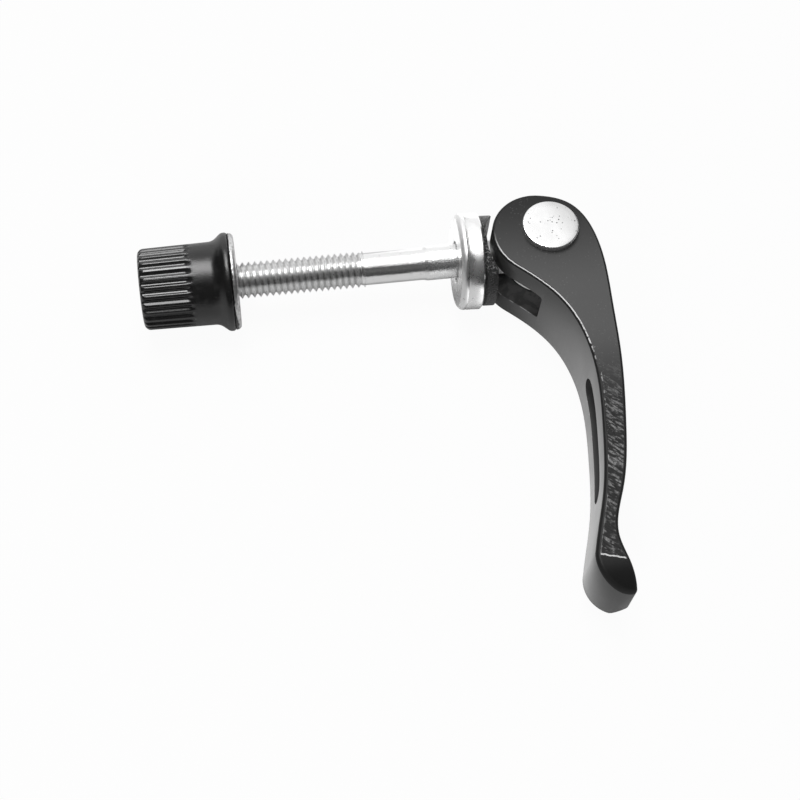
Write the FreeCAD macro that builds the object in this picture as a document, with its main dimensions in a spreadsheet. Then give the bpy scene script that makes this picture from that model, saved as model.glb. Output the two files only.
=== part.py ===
"""Quick release seatpost skewer: an eye bolt with a cam lever at one end and a thumb nut at the other.

Millimetres. The origin is on the bolt's axis, in the washer face that presses on the clamp.
+X runs along the bolt towards the lever, +Z along the pivot pin, and the lever points along -Y.
"""
import FreeCAD
import Part

import math
import os

import Sketcher

Vector = FreeCAD.Vector

SIZES = (
    ("washer_diameter", 15.8, "clamp washer, outside"),
    ("washer_thickness", 3.8, "clamp washer, along the bolt"),
    ("washer_bore", 7.0, "clamp washer and saddle, hole over the bolt"),
    ("washer_chamfer", 0.6, "clamp washer, edge on the clamp side"),
    ("washer_back_chamfer", 0.25, "clamp washer, edge on the saddle side"),
    ("washer_line_offset", 1.1, "clamp washer, turned line from the clamp face"),
    ("washer_line_width", 0.3, "clamp washer, turned line"),
    ("washer_line_depth", 0.15, "clamp washer, turned line"),
    ("saddle_diameter", 14.8, "saddle, outside"),
    ("saddle_rim", 2.2, "saddle, thickness beside the cam seat"),
    ("saddle_web", 0.5, "saddle, thickness under the cam seat"),
    ("saddle_edge", 0.5, "saddle, chamfered edge on the washer side"),
    ("seat_clearance", 1.0, "cam seat radius less cam radius"),
    ("seat_gap", 1.15, "loose gap between cam and seat at rest"),
    ("cam_radius", 7.6, "round cam nose of the lever head"),
    ("cam_lift", 1.9, "cam centre from the pivot, towards the nut"),
    ("cam_drop", 0.7, "cam centre from the pivot, towards the arm"),
    ("nose_end_angle", 228.0, "cam nose, where the inner edge leaves it"),
    ("crown_angle", 80.0, "cam nose, where the outer edge leaves it"),
    ("shoulder_radius", 6.4, "head shoulder from the pivot"),
    ("shoulder_angle", 47.0, "head shoulder, direction from the pivot"),
    ("flank_reach", 4.0, "straight outer flank, below the pivot"),
    ("flank_offset", 7.6, "straight outer flank, from the pivot"),
    ("root_reach", 14.0, "arm root, below the pivot"),
    ("root_middle", 3.43, "arm root, middle line from the pivot"),
    ("root_thickness", 7.85, "arm root, across the arm"),
    ("upper_reach", 23.5, "upper arm, below the pivot"),
    ("upper_middle", 4.35, "upper arm, middle line from the pivot"),
    ("upper_thickness", 4.7, "upper arm, across the arm"),
    ("halfway_reach", 36.0, "middle of the arm, below the pivot"),
    ("halfway_middle", 2.9, "middle of the arm, middle line from the pivot"),
    ("halfway_thickness", 3.7, "middle of the arm, across the arm"),
    ("lower_reach", 46.0, "lower arm, below the pivot"),
    ("lower_middle", 0.55, "lower arm, middle line from the pivot"),
    ("lower_thickness", 3.1, "lower arm, across the arm"),
    ("neck_reach", 53.3, "neck, below the pivot"),
    ("neck_middle", -1.83, "neck, middle line from the pivot"),
    ("neck_thickness", 3.35, "neck, across the arm"),
    ("tip_reach", 61.6, "lever tip, below the pivot"),
    ("tip_inner", -4.35, "thumb end, inner edge from the pivot"),
    ("tip_radius", 5.0, "thumb end, round inner side"),
    ("tip_corner", 0.5, "thumb end, rounded outer corner"),
    ("tip_start_angle", 168.0, "thumb end, where the inner edge joins its round side"),
    ("corner_end_angle", 13.0, "thumb end, where the outer edge leaves the corner"),
    ("paddle_thickness", 4.75, "thumb end, across the arm"),
    ("bevel_width", 2.45, "thumb end, lower outer bevel across the arm at the tip"),
    ("bevel_height", 3.2, "thumb end, lower outer bevel along the pivot at the tip"),
    ("head_width", 14.0, "lever along the pivot at the head"),
    ("paddle_width", 12.0, "lever along the pivot at the thumb end"),
    ("taper_reach", 12.0, "where the arm starts to narrow"),
    ("slot_width", 6.0, "slot between the two cheeks of the head"),
    ("slot_reach", 10.6, "slot floor, below the pivot"),
    ("window_start", 24.6, "arm window, upper end below the pivot"),
    ("window_end", 45.6, "arm window, lower end below the pivot"),
    ("window_width", 4.2, "arm window, along the pivot"),
    ("pin_diameter", 7.0, "pivot pin, shank"),
    ("pin_head_diameter", 9.15, "pivot pin, flat head at each end"),
    ("pin_head_height", 1.1, "pivot pin, flat head at each end"),
    ("pin_head_edge", 0.15, "pivot pin, broken edge of the heads"),
    ("pin_clearance", 0.05, "radial running clearance of the eye on the pin"),
    ("cheek_clearance", 0.02, "radial play of the pin in the cheeks"),
    ("eye_diameter", 12.2, "bolt eye, outside"),
    ("eye_thickness", 5.6, "bolt eye, along the pivot"),
    ("eye_edge", 0.4, "bolt eye, broken outer edges"),
    ("shank_diameter", 5.6, "plain bolt shank next to the eye"),
    ("shank_reach", 4.85, "plain shank past the clamp face"),
    ("shank_step", 0.6, "length of the step down to the thread blank"),
    ("blank_diameter", 5.25, "unthreaded part of the rolled thread blank"),
    ("thread_start", 15.25, "start of the thread, from the clamp face"),
    ("thread_diameter", 5.9, "outside of the thread"),
    ("thread_chamfer", 0.8, "end of the thread"),
    ("grip_length", 35.85, "space between washer and nut as shown"),
    ("thread_engagement", 12.8, "bolt end past the nut's face"),
    ("thread_clearance", 0.05, "radial running clearance of nut on thread"),
    ("face_diameter", 15.6, "nut insert, metal face"),
    ("face_thickness", 0.9, "nut insert, metal face"),
    ("hub_diameter", 9.8, "nut insert, threaded hub"),
    ("hub_length", 10.0, "nut insert, threaded hub behind the face"),
    ("hub_clearance", 0.02, "radial play of the hub in the nut body"),
    ("insert_chamfer", 0.4, "nut insert, lead-in of the thread"),
    ("nut_length", 15.4, "thumb nut with its metal face"),
    ("rim_diameter", 15.9, "thumb nut, flared rim"),
    ("rim_width", 1.0, "thumb nut, flared rim"),
    ("rim_edge", 0.3, "thumb nut, chamfered edges of the rim"),
    ("flare_length", 1.5, "thumb nut, flare behind the rim"),
    ("flare_radius", 1.2, "thumb nut, hollow of the flare"),
    ("neck_diameter", 13.4, "thumb nut, barrel at the flare"),
    ("end_diameter", 13.0, "thumb nut, barrel at the outer end"),
    ("end_edge", 0.7, "thumb nut, chamfered edge of the outer end"),
    ("end_bore", 6.6, "thumb nut, hole that the bolt can come out of"),
    ("flute_count", 28, "finger flutes round the nut"),
    ("flute_length", 8.2, "finger flutes, from the outer end"),
    ("flute_width", 1.1, "finger flutes, mouth at the outer end"),
    ("flute_floor", 0.5, "finger flutes, flat floor"),
    ("flute_depth", 0.4, "finger flutes, at the outer end"),
)

doc = FreeCAD.newDocument("seatpost_skewer")
sheet = doc.addObject("Spreadsheet::Sheet", "Sizes")
for row, (alias, number, note) in enumerate(SIZES, start=1):
    sheet.set(f"A{row}", note)
    sheet.set(f"B{row}", str(number))
    sheet.setAlias(f"B{row}", alias)
doc.recompute()

# The cam nose just clears its seat, and that places the pivot along the bolt.
PIVOT_X = (
    "(Sizes.washer_thickness + Sizes.saddle_web + Sizes.seat_gap + Sizes.cam_radius + Sizes.cam_lift)"
)


def size(expression):
    """The number that an expression over the sheet gives now."""
    return float(sheet.evalExpression(expression))


def new_body(label):
    body = doc.addObject("PartDesign::Body", label)
    body.Label = label
    return body


def new_sketch(body, role, name):
    """An empty sketch on one of the body's own origin planes."""
    sketch = body.newObject("Sketcher::SketchObject", name)
    plane = next(item for item in body.Origin.OriginFeatures if item.Role == role)
    sketch.AttachmentSupport = [(plane, "")]
    sketch.MapMode = "FlatFace"
    return sketch


def pin_point(sketch, geometry, point, x, y):
    """Hold one point of a sketch at coordinates that follow the sheet."""
    for kind, expression, axis in (("DistanceX", x, -2), ("DistanceY", y, -1)):
        if expression == "0":
            sketch.addConstraint(Sketcher.Constraint("PointOnObject", geometry, point, axis))
        else:
            limit = Sketcher.Constraint(kind, -1, 1, geometry, point, size(expression))
            number = sketch.addConstraint(limit)
            sketch.setExpression(f"Constraints[{number}]", expression)


def draw_outline(body, role, name, corners):
    """A closed outline of straight edges through corners given as pairs of expressions."""
    sketch = new_sketch(body, role, name)
    points = [Vector(size(x), size(y), 0) for x, y in corners]
    count = len(points)
    for index, point in enumerate(points):
        sketch.addGeometry(Part.LineSegment(point, points[(index + 1) % count]), False)
    for index in range(count):
        sketch.addConstraint(Sketcher.Constraint("Coincident", index, 2, (index + 1) % count, 1))
    for index, (x, y) in enumerate(corners):
        pin_point(sketch, index, 1, x, y)
    return sketch


def draw_circle(body, role, name, x, y, radius):
    """A circle whose centre and radius follow the sheet."""
    sketch = new_sketch(body, role, name)
    centre = Vector(size(x), size(y), 0)
    sketch.addGeometry(Part.Circle(centre, Vector(0, 0, 1), size(radius)), False)
    pin_point(sketch, 0, 3, x, y)
    number = sketch.addConstraint(Sketcher.Constraint("Radius", 0, size(radius)))
    sketch.setExpression(f"Constraints[{number}]", radius)
    return sketch


def revolve(body, sketch, axis):
    """Turn a profile once round one of its sketch's own axes."""
    turned = body.newObject("PartDesign::Revolution", body.Label + "_turned")
    turned.Profile = sketch
    turned.ReferenceAxis = (sketch, [axis])
    turned.Angle = 360
    doc.recompute()
    return turned


def cut_through(body, sketch, name):
    """Cut a sketch through the whole body, both ways from its plane."""
    before = body.Shape.Volume
    pocket = body.newObject("PartDesign::Pocket", name)
    pocket.Profile = sketch
    pocket.Type = "ThroughAll"
    pocket.SideType = "Symmetric"
    doc.recompute()
    if body.Shape.Volume >= before:
        raise RuntimeError(f"{name} removes nothing from {body.Label}")
    return pocket


def round_rings(body, name, rings, radius):
    """Round the circular edges of a turned body, each given as its place along X and its radius."""
    base = body.Tip
    wanted = [(size(place), size(reach)) for place, reach in rings]
    names = []
    for index, edge in enumerate(base.Shape.Edges, start=1):
        if not isinstance(edge.Curve, Part.Circle):
            continue
        found = (edge.Curve.Center.x, edge.Curve.Radius)
        if any(math.dist(found, ring) < 1e-4 for ring in wanted):
            names.append(f"Edge{index}")
    if len(names) != len(rings):
        raise RuntimeError(f"{name} finds {len(names)} of {len(rings)} edges")
    fillet = body.newObject("PartDesign::Fillet", name)
    fillet.Base = (base, names)
    fillet.setExpression("Radius", radius)
    doc.recompute()
    return fillet


def make_bolt():
    """Zinc plated eye bolt: flat eye, plain shank, thread blank and rolled thread."""
    body = new_body("eye_bolt")
    shank_end = f"-({PIVOT_X} + Sizes.shank_reach)"
    step_end = f"({shank_end} - Sizes.shank_step)"
    blank_end = f"-({PIVOT_X} + Sizes.thread_start)"
    thread_rise = "(Sizes.thread_diameter - Sizes.blank_diameter) / 2"
    end = f"-({PIVOT_X} + Sizes.grip_length + Sizes.thread_engagement)"
    stem = (
        ("0", "0"),
        ("0", "Sizes.shank_diameter / 2"),
        (shank_end, "Sizes.shank_diameter / 2"),
        (step_end, "Sizes.blank_diameter / 2"),
        (blank_end, "Sizes.blank_diameter / 2"),
        (f"({blank_end} - {thread_rise})", "Sizes.thread_diameter / 2"),
        (f"({end} + Sizes.thread_chamfer)", "Sizes.thread_diameter / 2"),
        (end, "(Sizes.thread_diameter / 2 - Sizes.thread_chamfer)"),
        (end, "0"),
    )
    revolve(body, draw_outline(body, "XY_Plane", "stem_profile", stem), "H_Axis")
    rim = "Sizes.eye_diameter / 2"
    face = "Sizes.eye_thickness / 2"
    eye = (
        ("0", f"-({face})"),
        (f"({rim} - Sizes.eye_edge)", f"-({face})"),
        (rim, f"-({face} - Sizes.eye_edge)"),
        (rim, f"({face} - Sizes.eye_edge)"),
        (f"({rim} - Sizes.eye_edge)", face),
        ("0", face),
    )
    revolve(body, draw_outline(body, "XZ_Plane", "eye_profile", eye), "V_Axis")
    bore = "(Sizes.pin_diameter / 2 + Sizes.pin_clearance)"
    cut_through(body, draw_circle(body, "XY_Plane", "eye_bore", "0", "0", bore), "eye_hole")
    body.setExpression("Placement.Base.x", PIVOT_X)
    return body


def make_pin():
    """Flat headed rivet that the lever turns on."""
    body = new_body("pivot_pin")
    face = "Sizes.head_width / 2"
    top = "(Sizes.head_width / 2 + Sizes.pin_head_height)"
    head = "Sizes.pin_head_diameter / 2"
    edge = "Sizes.pin_head_edge"
    upper = (
        ("Sizes.pin_diameter / 2", face),
        (head, face),
        (head, f"({top} - {edge})"),
        (f"({head} - {edge})", top),
    )
    lower = tuple((x, f"-({z})") for x, z in reversed(upper))
    profile = (("0", f"-({top})"),) + lower + upper + (("0", top),)
    revolve(body, draw_outline(body, "XZ_Plane", "pin_profile", profile), "V_Axis")
    body.setExpression("Placement.Base.x", PIVOT_X)
    return body


def make_washer():
    """Turned washer that presses on the clamp, with a fine line near its front edge."""
    body = new_body("clamp_washer")
    rim = "Sizes.washer_diameter / 2"
    bore = "Sizes.washer_bore / 2"
    line_start = "Sizes.washer_line_offset"
    line_middle = "(Sizes.washer_line_offset + Sizes.washer_line_width / 2)"
    line_end = "(Sizes.washer_line_offset + Sizes.washer_line_width)"
    back = "Sizes.washer_thickness"
    profile = (
        ("0", bore),
        ("0", f"({rim} - Sizes.washer_chamfer)"),
        ("Sizes.washer_chamfer", rim),
        (line_start, rim),
        (line_middle, f"({rim} - Sizes.washer_line_depth)"),
        (line_end, rim),
        (f"({back} - Sizes.washer_back_chamfer)", rim),
        (back, f"({rim} - Sizes.washer_back_chamfer)"),
        (back, bore),
    )
    revolve(body, draw_outline(body, "XY_Plane", "washer_profile", profile), "H_Axis")
    return body


def make_saddle():
    """Plastic disc with a round seat for the cam."""
    body = new_body("cam_saddle")
    front = "Sizes.washer_thickness"
    back = "(Sizes.washer_thickness + Sizes.saddle_rim)"
    rim = "Sizes.saddle_diameter / 2"
    bore = "Sizes.washer_bore / 2"
    profile = (
        (front, bore),
        (front, f"({rim} - Sizes.saddle_edge)"),
        (f"({front} + Sizes.saddle_edge)", rim),
        (back, rim),
        (back, bore),
    )
    revolve(body, draw_outline(body, "XY_Plane", "saddle_profile", profile), "H_Axis")
    seat_radius = "(Sizes.cam_radius + Sizes.seat_clearance)"
    seat_x = f"({front} + Sizes.saddle_web + {seat_radius})"
    cut_through(body, draw_circle(body, "XY_Plane", "seat_circle", seat_x, "0", seat_radius), "cam_seat")
    return body


def make_nut_insert():
    """Threaded metal insert of the thumb nut, with the face that presses on the clamp."""
    body = new_body("nut_insert")
    bore = "(Sizes.thread_diameter / 2 + Sizes.thread_clearance)"
    hub_end = "-(Sizes.face_thickness + Sizes.hub_length)"
    profile = (
        ("-Sizes.insert_chamfer", bore),
        ("0", f"({bore} + Sizes.insert_chamfer)"),
        ("0", "Sizes.face_diameter / 2"),
        ("-Sizes.face_thickness", "Sizes.face_diameter / 2"),
        ("-Sizes.face_thickness", "Sizes.hub_diameter / 2"),
        (hub_end, "Sizes.hub_diameter / 2"),
        (hub_end, bore),
    )
    revolve(body, draw_outline(body, "XY_Plane", "insert_profile", profile), "H_Axis")
    body.setExpression("Placement.Base.x", "-Sizes.grip_length")
    return body


def make_nut():
    """Black thumb nut: fluted barrel, smooth neck and flared rim round the metal insert."""
    body = new_body("thumb_nut")
    rim = "Sizes.rim_diameter / 2"
    neck = "Sizes.neck_diameter / 2"
    end_radius = "Sizes.end_diameter / 2"
    socket = "(Sizes.hub_diameter / 2 + Sizes.hub_clearance)"
    front = "-Sizes.face_thickness"
    rim_back = "-(Sizes.face_thickness + Sizes.rim_width)"
    flare_end = "-(Sizes.face_thickness + Sizes.rim_width + Sizes.flare_length)"
    socket_end = "-(Sizes.face_thickness + Sizes.hub_length)"
    end = "-Sizes.nut_length"
    profile = (
        (front, socket),
        (front, f"({rim} - Sizes.rim_edge)"),
        (f"({front} - Sizes.rim_edge)", rim),
        (f"({rim_back} + Sizes.rim_edge)", rim),
        (rim_back, f"({rim} - Sizes.rim_edge / 2)"),
        (flare_end, neck),
        (f"({end} + Sizes.end_edge)", end_radius),
        (end, f"({end_radius} - Sizes.end_edge)"),
        (end, "Sizes.end_bore / 2"),
        (socket_end, "Sizes.end_bore / 2"),
        (socket_end, socket),
    )
    revolve(body, draw_outline(body, "XY_Plane", "nut_profile", profile), "H_Axis")
    round_rings(body, "flare_hollow", ((flare_end, neck),), "Sizes.flare_radius")
    cut_flutes(body, end)
    body.setExpression("Placement.Base.x", "-Sizes.grip_length")
    return body


def cut_flutes(body, end):
    """Straight flat-floored flutes from the nut's outer end, repeated round its axis."""
    floor = "(Sizes.end_diameter / 2 - Sizes.flute_depth)"
    above = "Sizes.rim_diameter / 2"
    half_floor = "Sizes.flute_floor / 2"
    wall_slope = "(Sizes.flute_width - Sizes.flute_floor) / 2 / Sizes.flute_depth"
    half_above = f"({half_floor} + {wall_slope} * ({above} - {floor}))"
    corners = (
        (f"-({half_floor})", floor),
        (half_floor, floor),
        (half_above, above),
        (f"-{half_above}", above),
    )
    sketch = draw_outline(body, "YZ_Plane", "flute_profile", corners)
    sketch.setExpression("AttachmentOffset.Base.z", end)
    before = body.Shape.Volume
    flute = body.newObject("PartDesign::Pocket", "flute")
    flute.Profile = sketch
    flute.Reversed = True
    flute.setExpression("Length", "Sizes.flute_length")
    doc.recompute()
    if body.Shape.Volume >= before:
        raise RuntimeError("the flute removes nothing from the nut")
    ring = body.newObject("PartDesign::PolarPattern", "flutes")
    ring.Originals = [flute]
    ring.Axis = (next(item for item in body.Origin.OriginFeatures if item.Role == "X_Axis"), [""])
    ring.Angle = 360
    ring.setExpression("Occurrences", "Sizes.flute_count")
    body.Tip = ring
    doc.recompute()


def lever_size(name):
    return size("Sizes." + name)


def around(centre, radius, degrees):
    angle = math.radians(degrees)
    return centre + Vector(radius * math.cos(angle), radius * math.sin(angle), 0)


def arc(centre, radius, start, end):
    """An arc from one direction to another, in degrees, counter-clockwise."""
    middle = (start + end) / 2
    points = [around(centre, radius, angle) for angle in (start, middle, end)]
    return Part.Arc(*points).toShape()


def smooth(points, first_direction):
    """A smooth curve through points that leaves the first one in a given direction."""
    count = len(points)
    curve = Part.BSplineCurve()
    curve.interpolate(
        Points=points,
        Tangents=[first_direction] * count,
        TangentFlags=[True] + [False] * (count - 1),
    )
    return curve.toShape()


def lever_plan():
    """Outline of the lever seen along the pivot: cam nose, curved arm, neck and thumb end."""
    pivot = Vector(0, 0, 0)
    cam = Vector(-lever_size("cam_lift"), -lever_size("cam_drop"), 0)
    cam_radius = lever_size("cam_radius")
    nose_end_angle = lever_size("nose_end_angle")
    crown_angle = lever_size("crown_angle")
    tip_inner = lever_size("tip_inner")
    tip_radius = lever_size("tip_radius")
    tip_corner = lever_size("tip_corner")
    tip_start_angle = lever_size("tip_start_angle")
    corner_end_angle = lever_size("corner_end_angle")
    round_reach = lever_size("tip_reach") - tip_radius
    tip_centre = Vector(tip_inner + tip_radius, -round_reach, 0)
    corner_centre = tip_centre - Vector(0, tip_radius - tip_corner, 0)
    inner = [around(cam, cam_radius, nose_end_angle)]
    outer = [
        around(cam, cam_radius, crown_angle),
        around(pivot, lever_size("shoulder_radius"), lever_size("shoulder_angle")),
        Vector(lever_size("flank_offset"), -lever_size("flank_reach"), 0),
    ]
    for station in ("root", "upper", "halfway", "lower", "neck"):
        reach = lever_size(station + "_reach")
        middle = lever_size(station + "_middle")
        half = lever_size(station + "_thickness") / 2
        inner.append(Vector(middle - half, -reach, 0))
        outer.append(Vector(middle + half, -reach, 0))
    inner.append(around(tip_centre, tip_radius, tip_start_angle))
    outer.append(Vector(tip_inner + lever_size("paddle_thickness"), -round_reach, 0))
    outer.append(around(corner_centre, tip_corner, corner_end_angle))
    leave_nose = around(pivot, 1, nose_end_angle + 90)
    leave_crown = around(pivot, 1, crown_angle - 90)
    edges = [
        arc(cam, cam_radius, crown_angle, nose_end_angle),
        smooth(inner, leave_nose),
        arc(tip_centre, tip_radius, tip_start_angle, 270),
        arc(corner_centre, tip_corner, 270, 360 + corner_end_angle),
        smooth(outer, leave_crown),
    ]
    return Part.Face(Part.Wire(Part.__sortEdges__(edges)))


def lever_side():
    """Outline of the lever seen along the bolt: parallel head, narrowing arm and an end rounded above."""
    head = lever_size("head_width") / 2
    paddle = lever_size("paddle_width") / 2
    above = lever_size("cam_radius") * 2
    taper = -lever_size("taper_reach")
    start = -(lever_size("tip_reach") - lever_size("tip_radius"))
    end = start - paddle
    corners = [
        Vector(0, end, 0),
        Vector(0, end, -paddle),
        Vector(0, start, -paddle),
        Vector(0, taper, -head),
        Vector(0, above, -head),
        Vector(0, above, head),
        Vector(0, taper, head),
        Vector(0, start, paddle),
    ]
    edges = [Part.LineSegment(a, b).toShape() for a, b in zip(corners, corners[1:])]
    halfway = paddle * math.sqrt(0.5)
    edges.append(Part.Arc(corners[-1], Vector(0, start - halfway, halfway), corners[0]).toShape())
    return Part.Face(Part.Wire(edges))


def tip_bevel():
    """Wedge under the outer edge of the thumb end, from nothing at the neck to its full size at the tip."""
    low = -lever_size("paddle_width") / 2
    tip = -lever_size("tip_reach")
    outer = lever_size("tip_inner") + lever_size("tip_radius") + lever_size("tip_corner")
    neck_outer = lever_size("neck_middle") + lever_size("neck_thickness") / 2
    apex = Vector(neck_outer, -lever_size("neck_reach"), -lever_size("head_width") / 2)
    ends = (
        Vector(outer - lever_size("bevel_width"), tip, low),
        Vector(outer, tip, low + lever_size("bevel_height")),
        Vector(outer + lever_size("bevel_width"), tip, low - lever_size("bevel_height")),
    )
    past_tip = 1.5
    corners = [apex] + [apex + (end - apex) * past_tip for end in ends]
    faces = []
    for left_out in corners:
        triangle = [corner for corner in corners if corner is not left_out]
        faces.append(Part.Face(Part.makePolygon(triangle + triangle[:1])))
    wedge = Part.makeSolid(Part.makeShell(faces))
    if wedge.Volume < 0:
        wedge.reverse()
    return wedge


def make_lever():
    """Painted lever with the cam nose, forked by a slot for the eye and pierced by a long window."""
    plan = doc.addObject("Part::Feature", "lever_plan")
    plan.Shape = lever_plan()
    thick = doc.addObject("Part::Extrusion", "lever_thick")
    thick.Base = plan
    thick.Dir = Vector(0, 0, 1)
    thick.DirMode = "Custom"
    thick.Symmetric = True
    thick.Solid = True
    thick.setExpression("LengthFwd", "Sizes.head_width")
    side = doc.addObject("Part::Feature", "lever_side")
    side.Shape = lever_side()
    wide = doc.addObject("Part::Extrusion", "lever_wide")
    wide.Base = side
    wide.Dir = Vector(1, 0, 0)
    wide.DirMode = "Custom"
    wide.Symmetric = True
    wide.Solid = True
    wide.setExpression("LengthFwd", "4 * (Sizes.cam_radius + Sizes.cam_lift)")
    blank = doc.addObject("Part::Common", "lever_blank")
    blank.Base = thick
    blank.Tool = wide
    doc.recompute()
    slot = doc.addObject("Part::Box", "lever_slot")
    slot.setExpression("Length", "4 * Sizes.cam_radius")
    slot.setExpression("Width", "4 * Sizes.cam_radius")
    slot.setExpression("Height", "Sizes.slot_width")
    slot.setExpression("Placement.Base.x", "-2 * Sizes.cam_radius")
    slot.setExpression("Placement.Base.y", "-Sizes.slot_reach")
    slot.setExpression("Placement.Base.z", "-Sizes.slot_width / 2")
    hole = doc.addObject("Part::Cylinder", "lever_pin_hole")
    hole.setExpression("Radius", "Sizes.pin_diameter / 2 + Sizes.cheek_clearance")
    hole.setExpression("Height", "2 * Sizes.head_width")
    hole.setExpression("Placement.Base.z", "-Sizes.head_width")
    bevel = doc.addObject("Part::Feature", "lever_bevel")
    bevel.Shape = tip_bevel()
    cutters = doc.addObject("Part::MultiFuse", "lever_cutters")
    cutters.Shapes = [slot, hole, bevel] + window_cutters()
    lever = doc.addObject("Part::Cut", "cam_lever")
    lever.Label = "cam_lever"
    lever.Base = blank
    lever.Tool = cutters
    lever.setExpression("Placement.Base.x", PIVOT_X)
    doc.recompute()
    return lever


def window_cutters():
    """A slot with round ends, cut through the arm along the bolt's direction."""
    radius = "Sizes.window_width / 2"
    depth = "4 * Sizes.cam_radius"
    middle = doc.addObject("Part::Box", "window_middle")
    middle.setExpression("Length", depth)
    middle.setExpression("Width", "Sizes.window_end - Sizes.window_start - Sizes.window_width")
    middle.setExpression("Height", "Sizes.window_width")
    middle.setExpression("Placement.Base.x", "-2 * Sizes.cam_radius")
    middle.setExpression("Placement.Base.y", f"-Sizes.window_end + {radius}")
    middle.setExpression("Placement.Base.z", f"-{radius}")
    ends = []
    for name, place in (
        ("window_top", f"-Sizes.window_start - {radius}"),
        ("window_foot", f"-Sizes.window_end + {radius}"),
    ):
        end = doc.addObject("Part::Cylinder", name)
        end.setExpression("Radius", radius)
        end.setExpression("Height", depth)
        end.Placement.Rotation = FreeCAD.Rotation(Vector(0, 1, 0), 90)
        end.setExpression("Placement.Base.x", "-2 * Sizes.cam_radius")
        end.setExpression("Placement.Base.y", place)
        ends.append(end)
    return [middle] + ends


parts = [
    make_bolt(),
    make_pin(),
    make_lever(),
    make_saddle(),
    make_washer(),
    make_nut_insert(),
    make_nut(),
]
doc.recompute()

for item in doc.Objects:
    if {"Invalid", "Error"} & set(item.State):
        raise RuntimeError(f"{item.Label} did not build: {item.State}")
for part in parts:
    if part.Shape.isNull() or not part.Shape.isValid():
        raise RuntimeError(f"{part.Label} has no valid shape")

os.makedirs("parts", exist_ok=True)
for part in parts:
    part.Shape.exportStep(os.path.join("parts", part.Label + ".step"))
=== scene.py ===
"""Looks of the quick release seatpost skewer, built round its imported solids.

The file is laid out as an add-on and run as a script: each operator makes one piece, or one group
of like pieces, in the frame's metres, and main() calls them in order.
"""

import math

import bmesh
import bpy
import numpy as np
from mathutils import Matrix, Vector


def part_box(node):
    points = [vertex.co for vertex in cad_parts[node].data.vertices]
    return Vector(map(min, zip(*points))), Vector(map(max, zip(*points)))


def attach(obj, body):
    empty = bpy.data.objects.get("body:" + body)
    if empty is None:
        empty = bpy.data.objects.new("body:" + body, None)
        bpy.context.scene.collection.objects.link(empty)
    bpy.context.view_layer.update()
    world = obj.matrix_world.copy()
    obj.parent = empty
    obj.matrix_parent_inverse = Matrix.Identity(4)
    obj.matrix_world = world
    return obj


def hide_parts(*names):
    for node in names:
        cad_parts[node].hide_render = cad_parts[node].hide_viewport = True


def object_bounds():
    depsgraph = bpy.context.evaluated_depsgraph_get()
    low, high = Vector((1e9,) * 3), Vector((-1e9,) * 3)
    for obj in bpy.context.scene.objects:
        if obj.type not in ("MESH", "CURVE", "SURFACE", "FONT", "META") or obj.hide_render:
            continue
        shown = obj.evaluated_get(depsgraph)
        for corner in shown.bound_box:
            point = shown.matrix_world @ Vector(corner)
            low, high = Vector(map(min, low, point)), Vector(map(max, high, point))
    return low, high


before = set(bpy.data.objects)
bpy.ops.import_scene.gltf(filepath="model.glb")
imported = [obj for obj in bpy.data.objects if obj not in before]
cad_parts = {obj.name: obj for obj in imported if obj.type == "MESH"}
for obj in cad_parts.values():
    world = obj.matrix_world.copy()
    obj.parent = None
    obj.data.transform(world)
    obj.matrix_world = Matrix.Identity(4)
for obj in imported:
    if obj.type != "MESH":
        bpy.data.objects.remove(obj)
CAD_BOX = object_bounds()

bl_info = {
    "name": "Seatpost skewer",
    "version": (1, 0, 0),
    "blender": (4, 5, 0),
    "location": "View3D > Sidebar > Skewer",
    "description": "Dresses the solids of a quick release seatpost skewer",
    "category": "Object",
}

MM = 0.001
PHOTO_SIZE = 800
SENSOR_WIDTH = 36.0
PIN_LOW, PIN_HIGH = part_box("pivot_pin")
PIVOT = (PIN_LOW + PIN_HIGH) / 2
BOLT_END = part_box("eye_bolt")[0].x
WASHER_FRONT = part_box("clamp_washer")[0].x
WASHER_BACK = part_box("clamp_washer")[1].x
NUT_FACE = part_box("nut_insert")[1].x
NUT_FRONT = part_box("thumb_nut")[1].x
NUT_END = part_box("thumb_nut")[0].x
FLOOR_HEIGHT = CAD_BOX[0].z
FROM_INNER = "from_inner"
FROM_OUTER = "from_outer"
MERGE_DISTANCE = 0.002 * MM


def length(name, description, millimetres):
    """A size that the user may change, in the scene's metres."""
    return bpy.props.FloatProperty(
        name=name, description=description, default=millimetres * MM, unit="LENGTH", precision=5
    )


def share(name, description, default):
    """A number without a unit, such as a roughness or a strength."""
    return bpy.props.FloatProperty(name=name, description=description, default=default, min=0.0)


def count_of(name, description, default):
    """A number of like things round a piece."""
    return bpy.props.IntProperty(name=name, description=description, default=default, min=3)


def offset(name, description, *millimetres):
    """A point or an offset that the user may change, in the scene's metres."""
    default = tuple(value * MM for value in millimetres)
    return bpy.props.FloatVectorProperty(
        name=name, description=description, default=default, unit="LENGTH", precision=5
    )


def angle(name, description, degrees):
    """A turn that the user may change, given in degrees."""
    return bpy.props.FloatProperty(
        name=name, description=description, default=math.radians(degrees), subtype="ANGLE"
    )


def colour(name, description, level):
    """A grey colour, given as its linear level."""
    default = (level, level, level, 1.0)
    return bpy.props.FloatVectorProperty(
        name=name, description=description, default=default, size=4, subtype="COLOR"
    )


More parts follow.
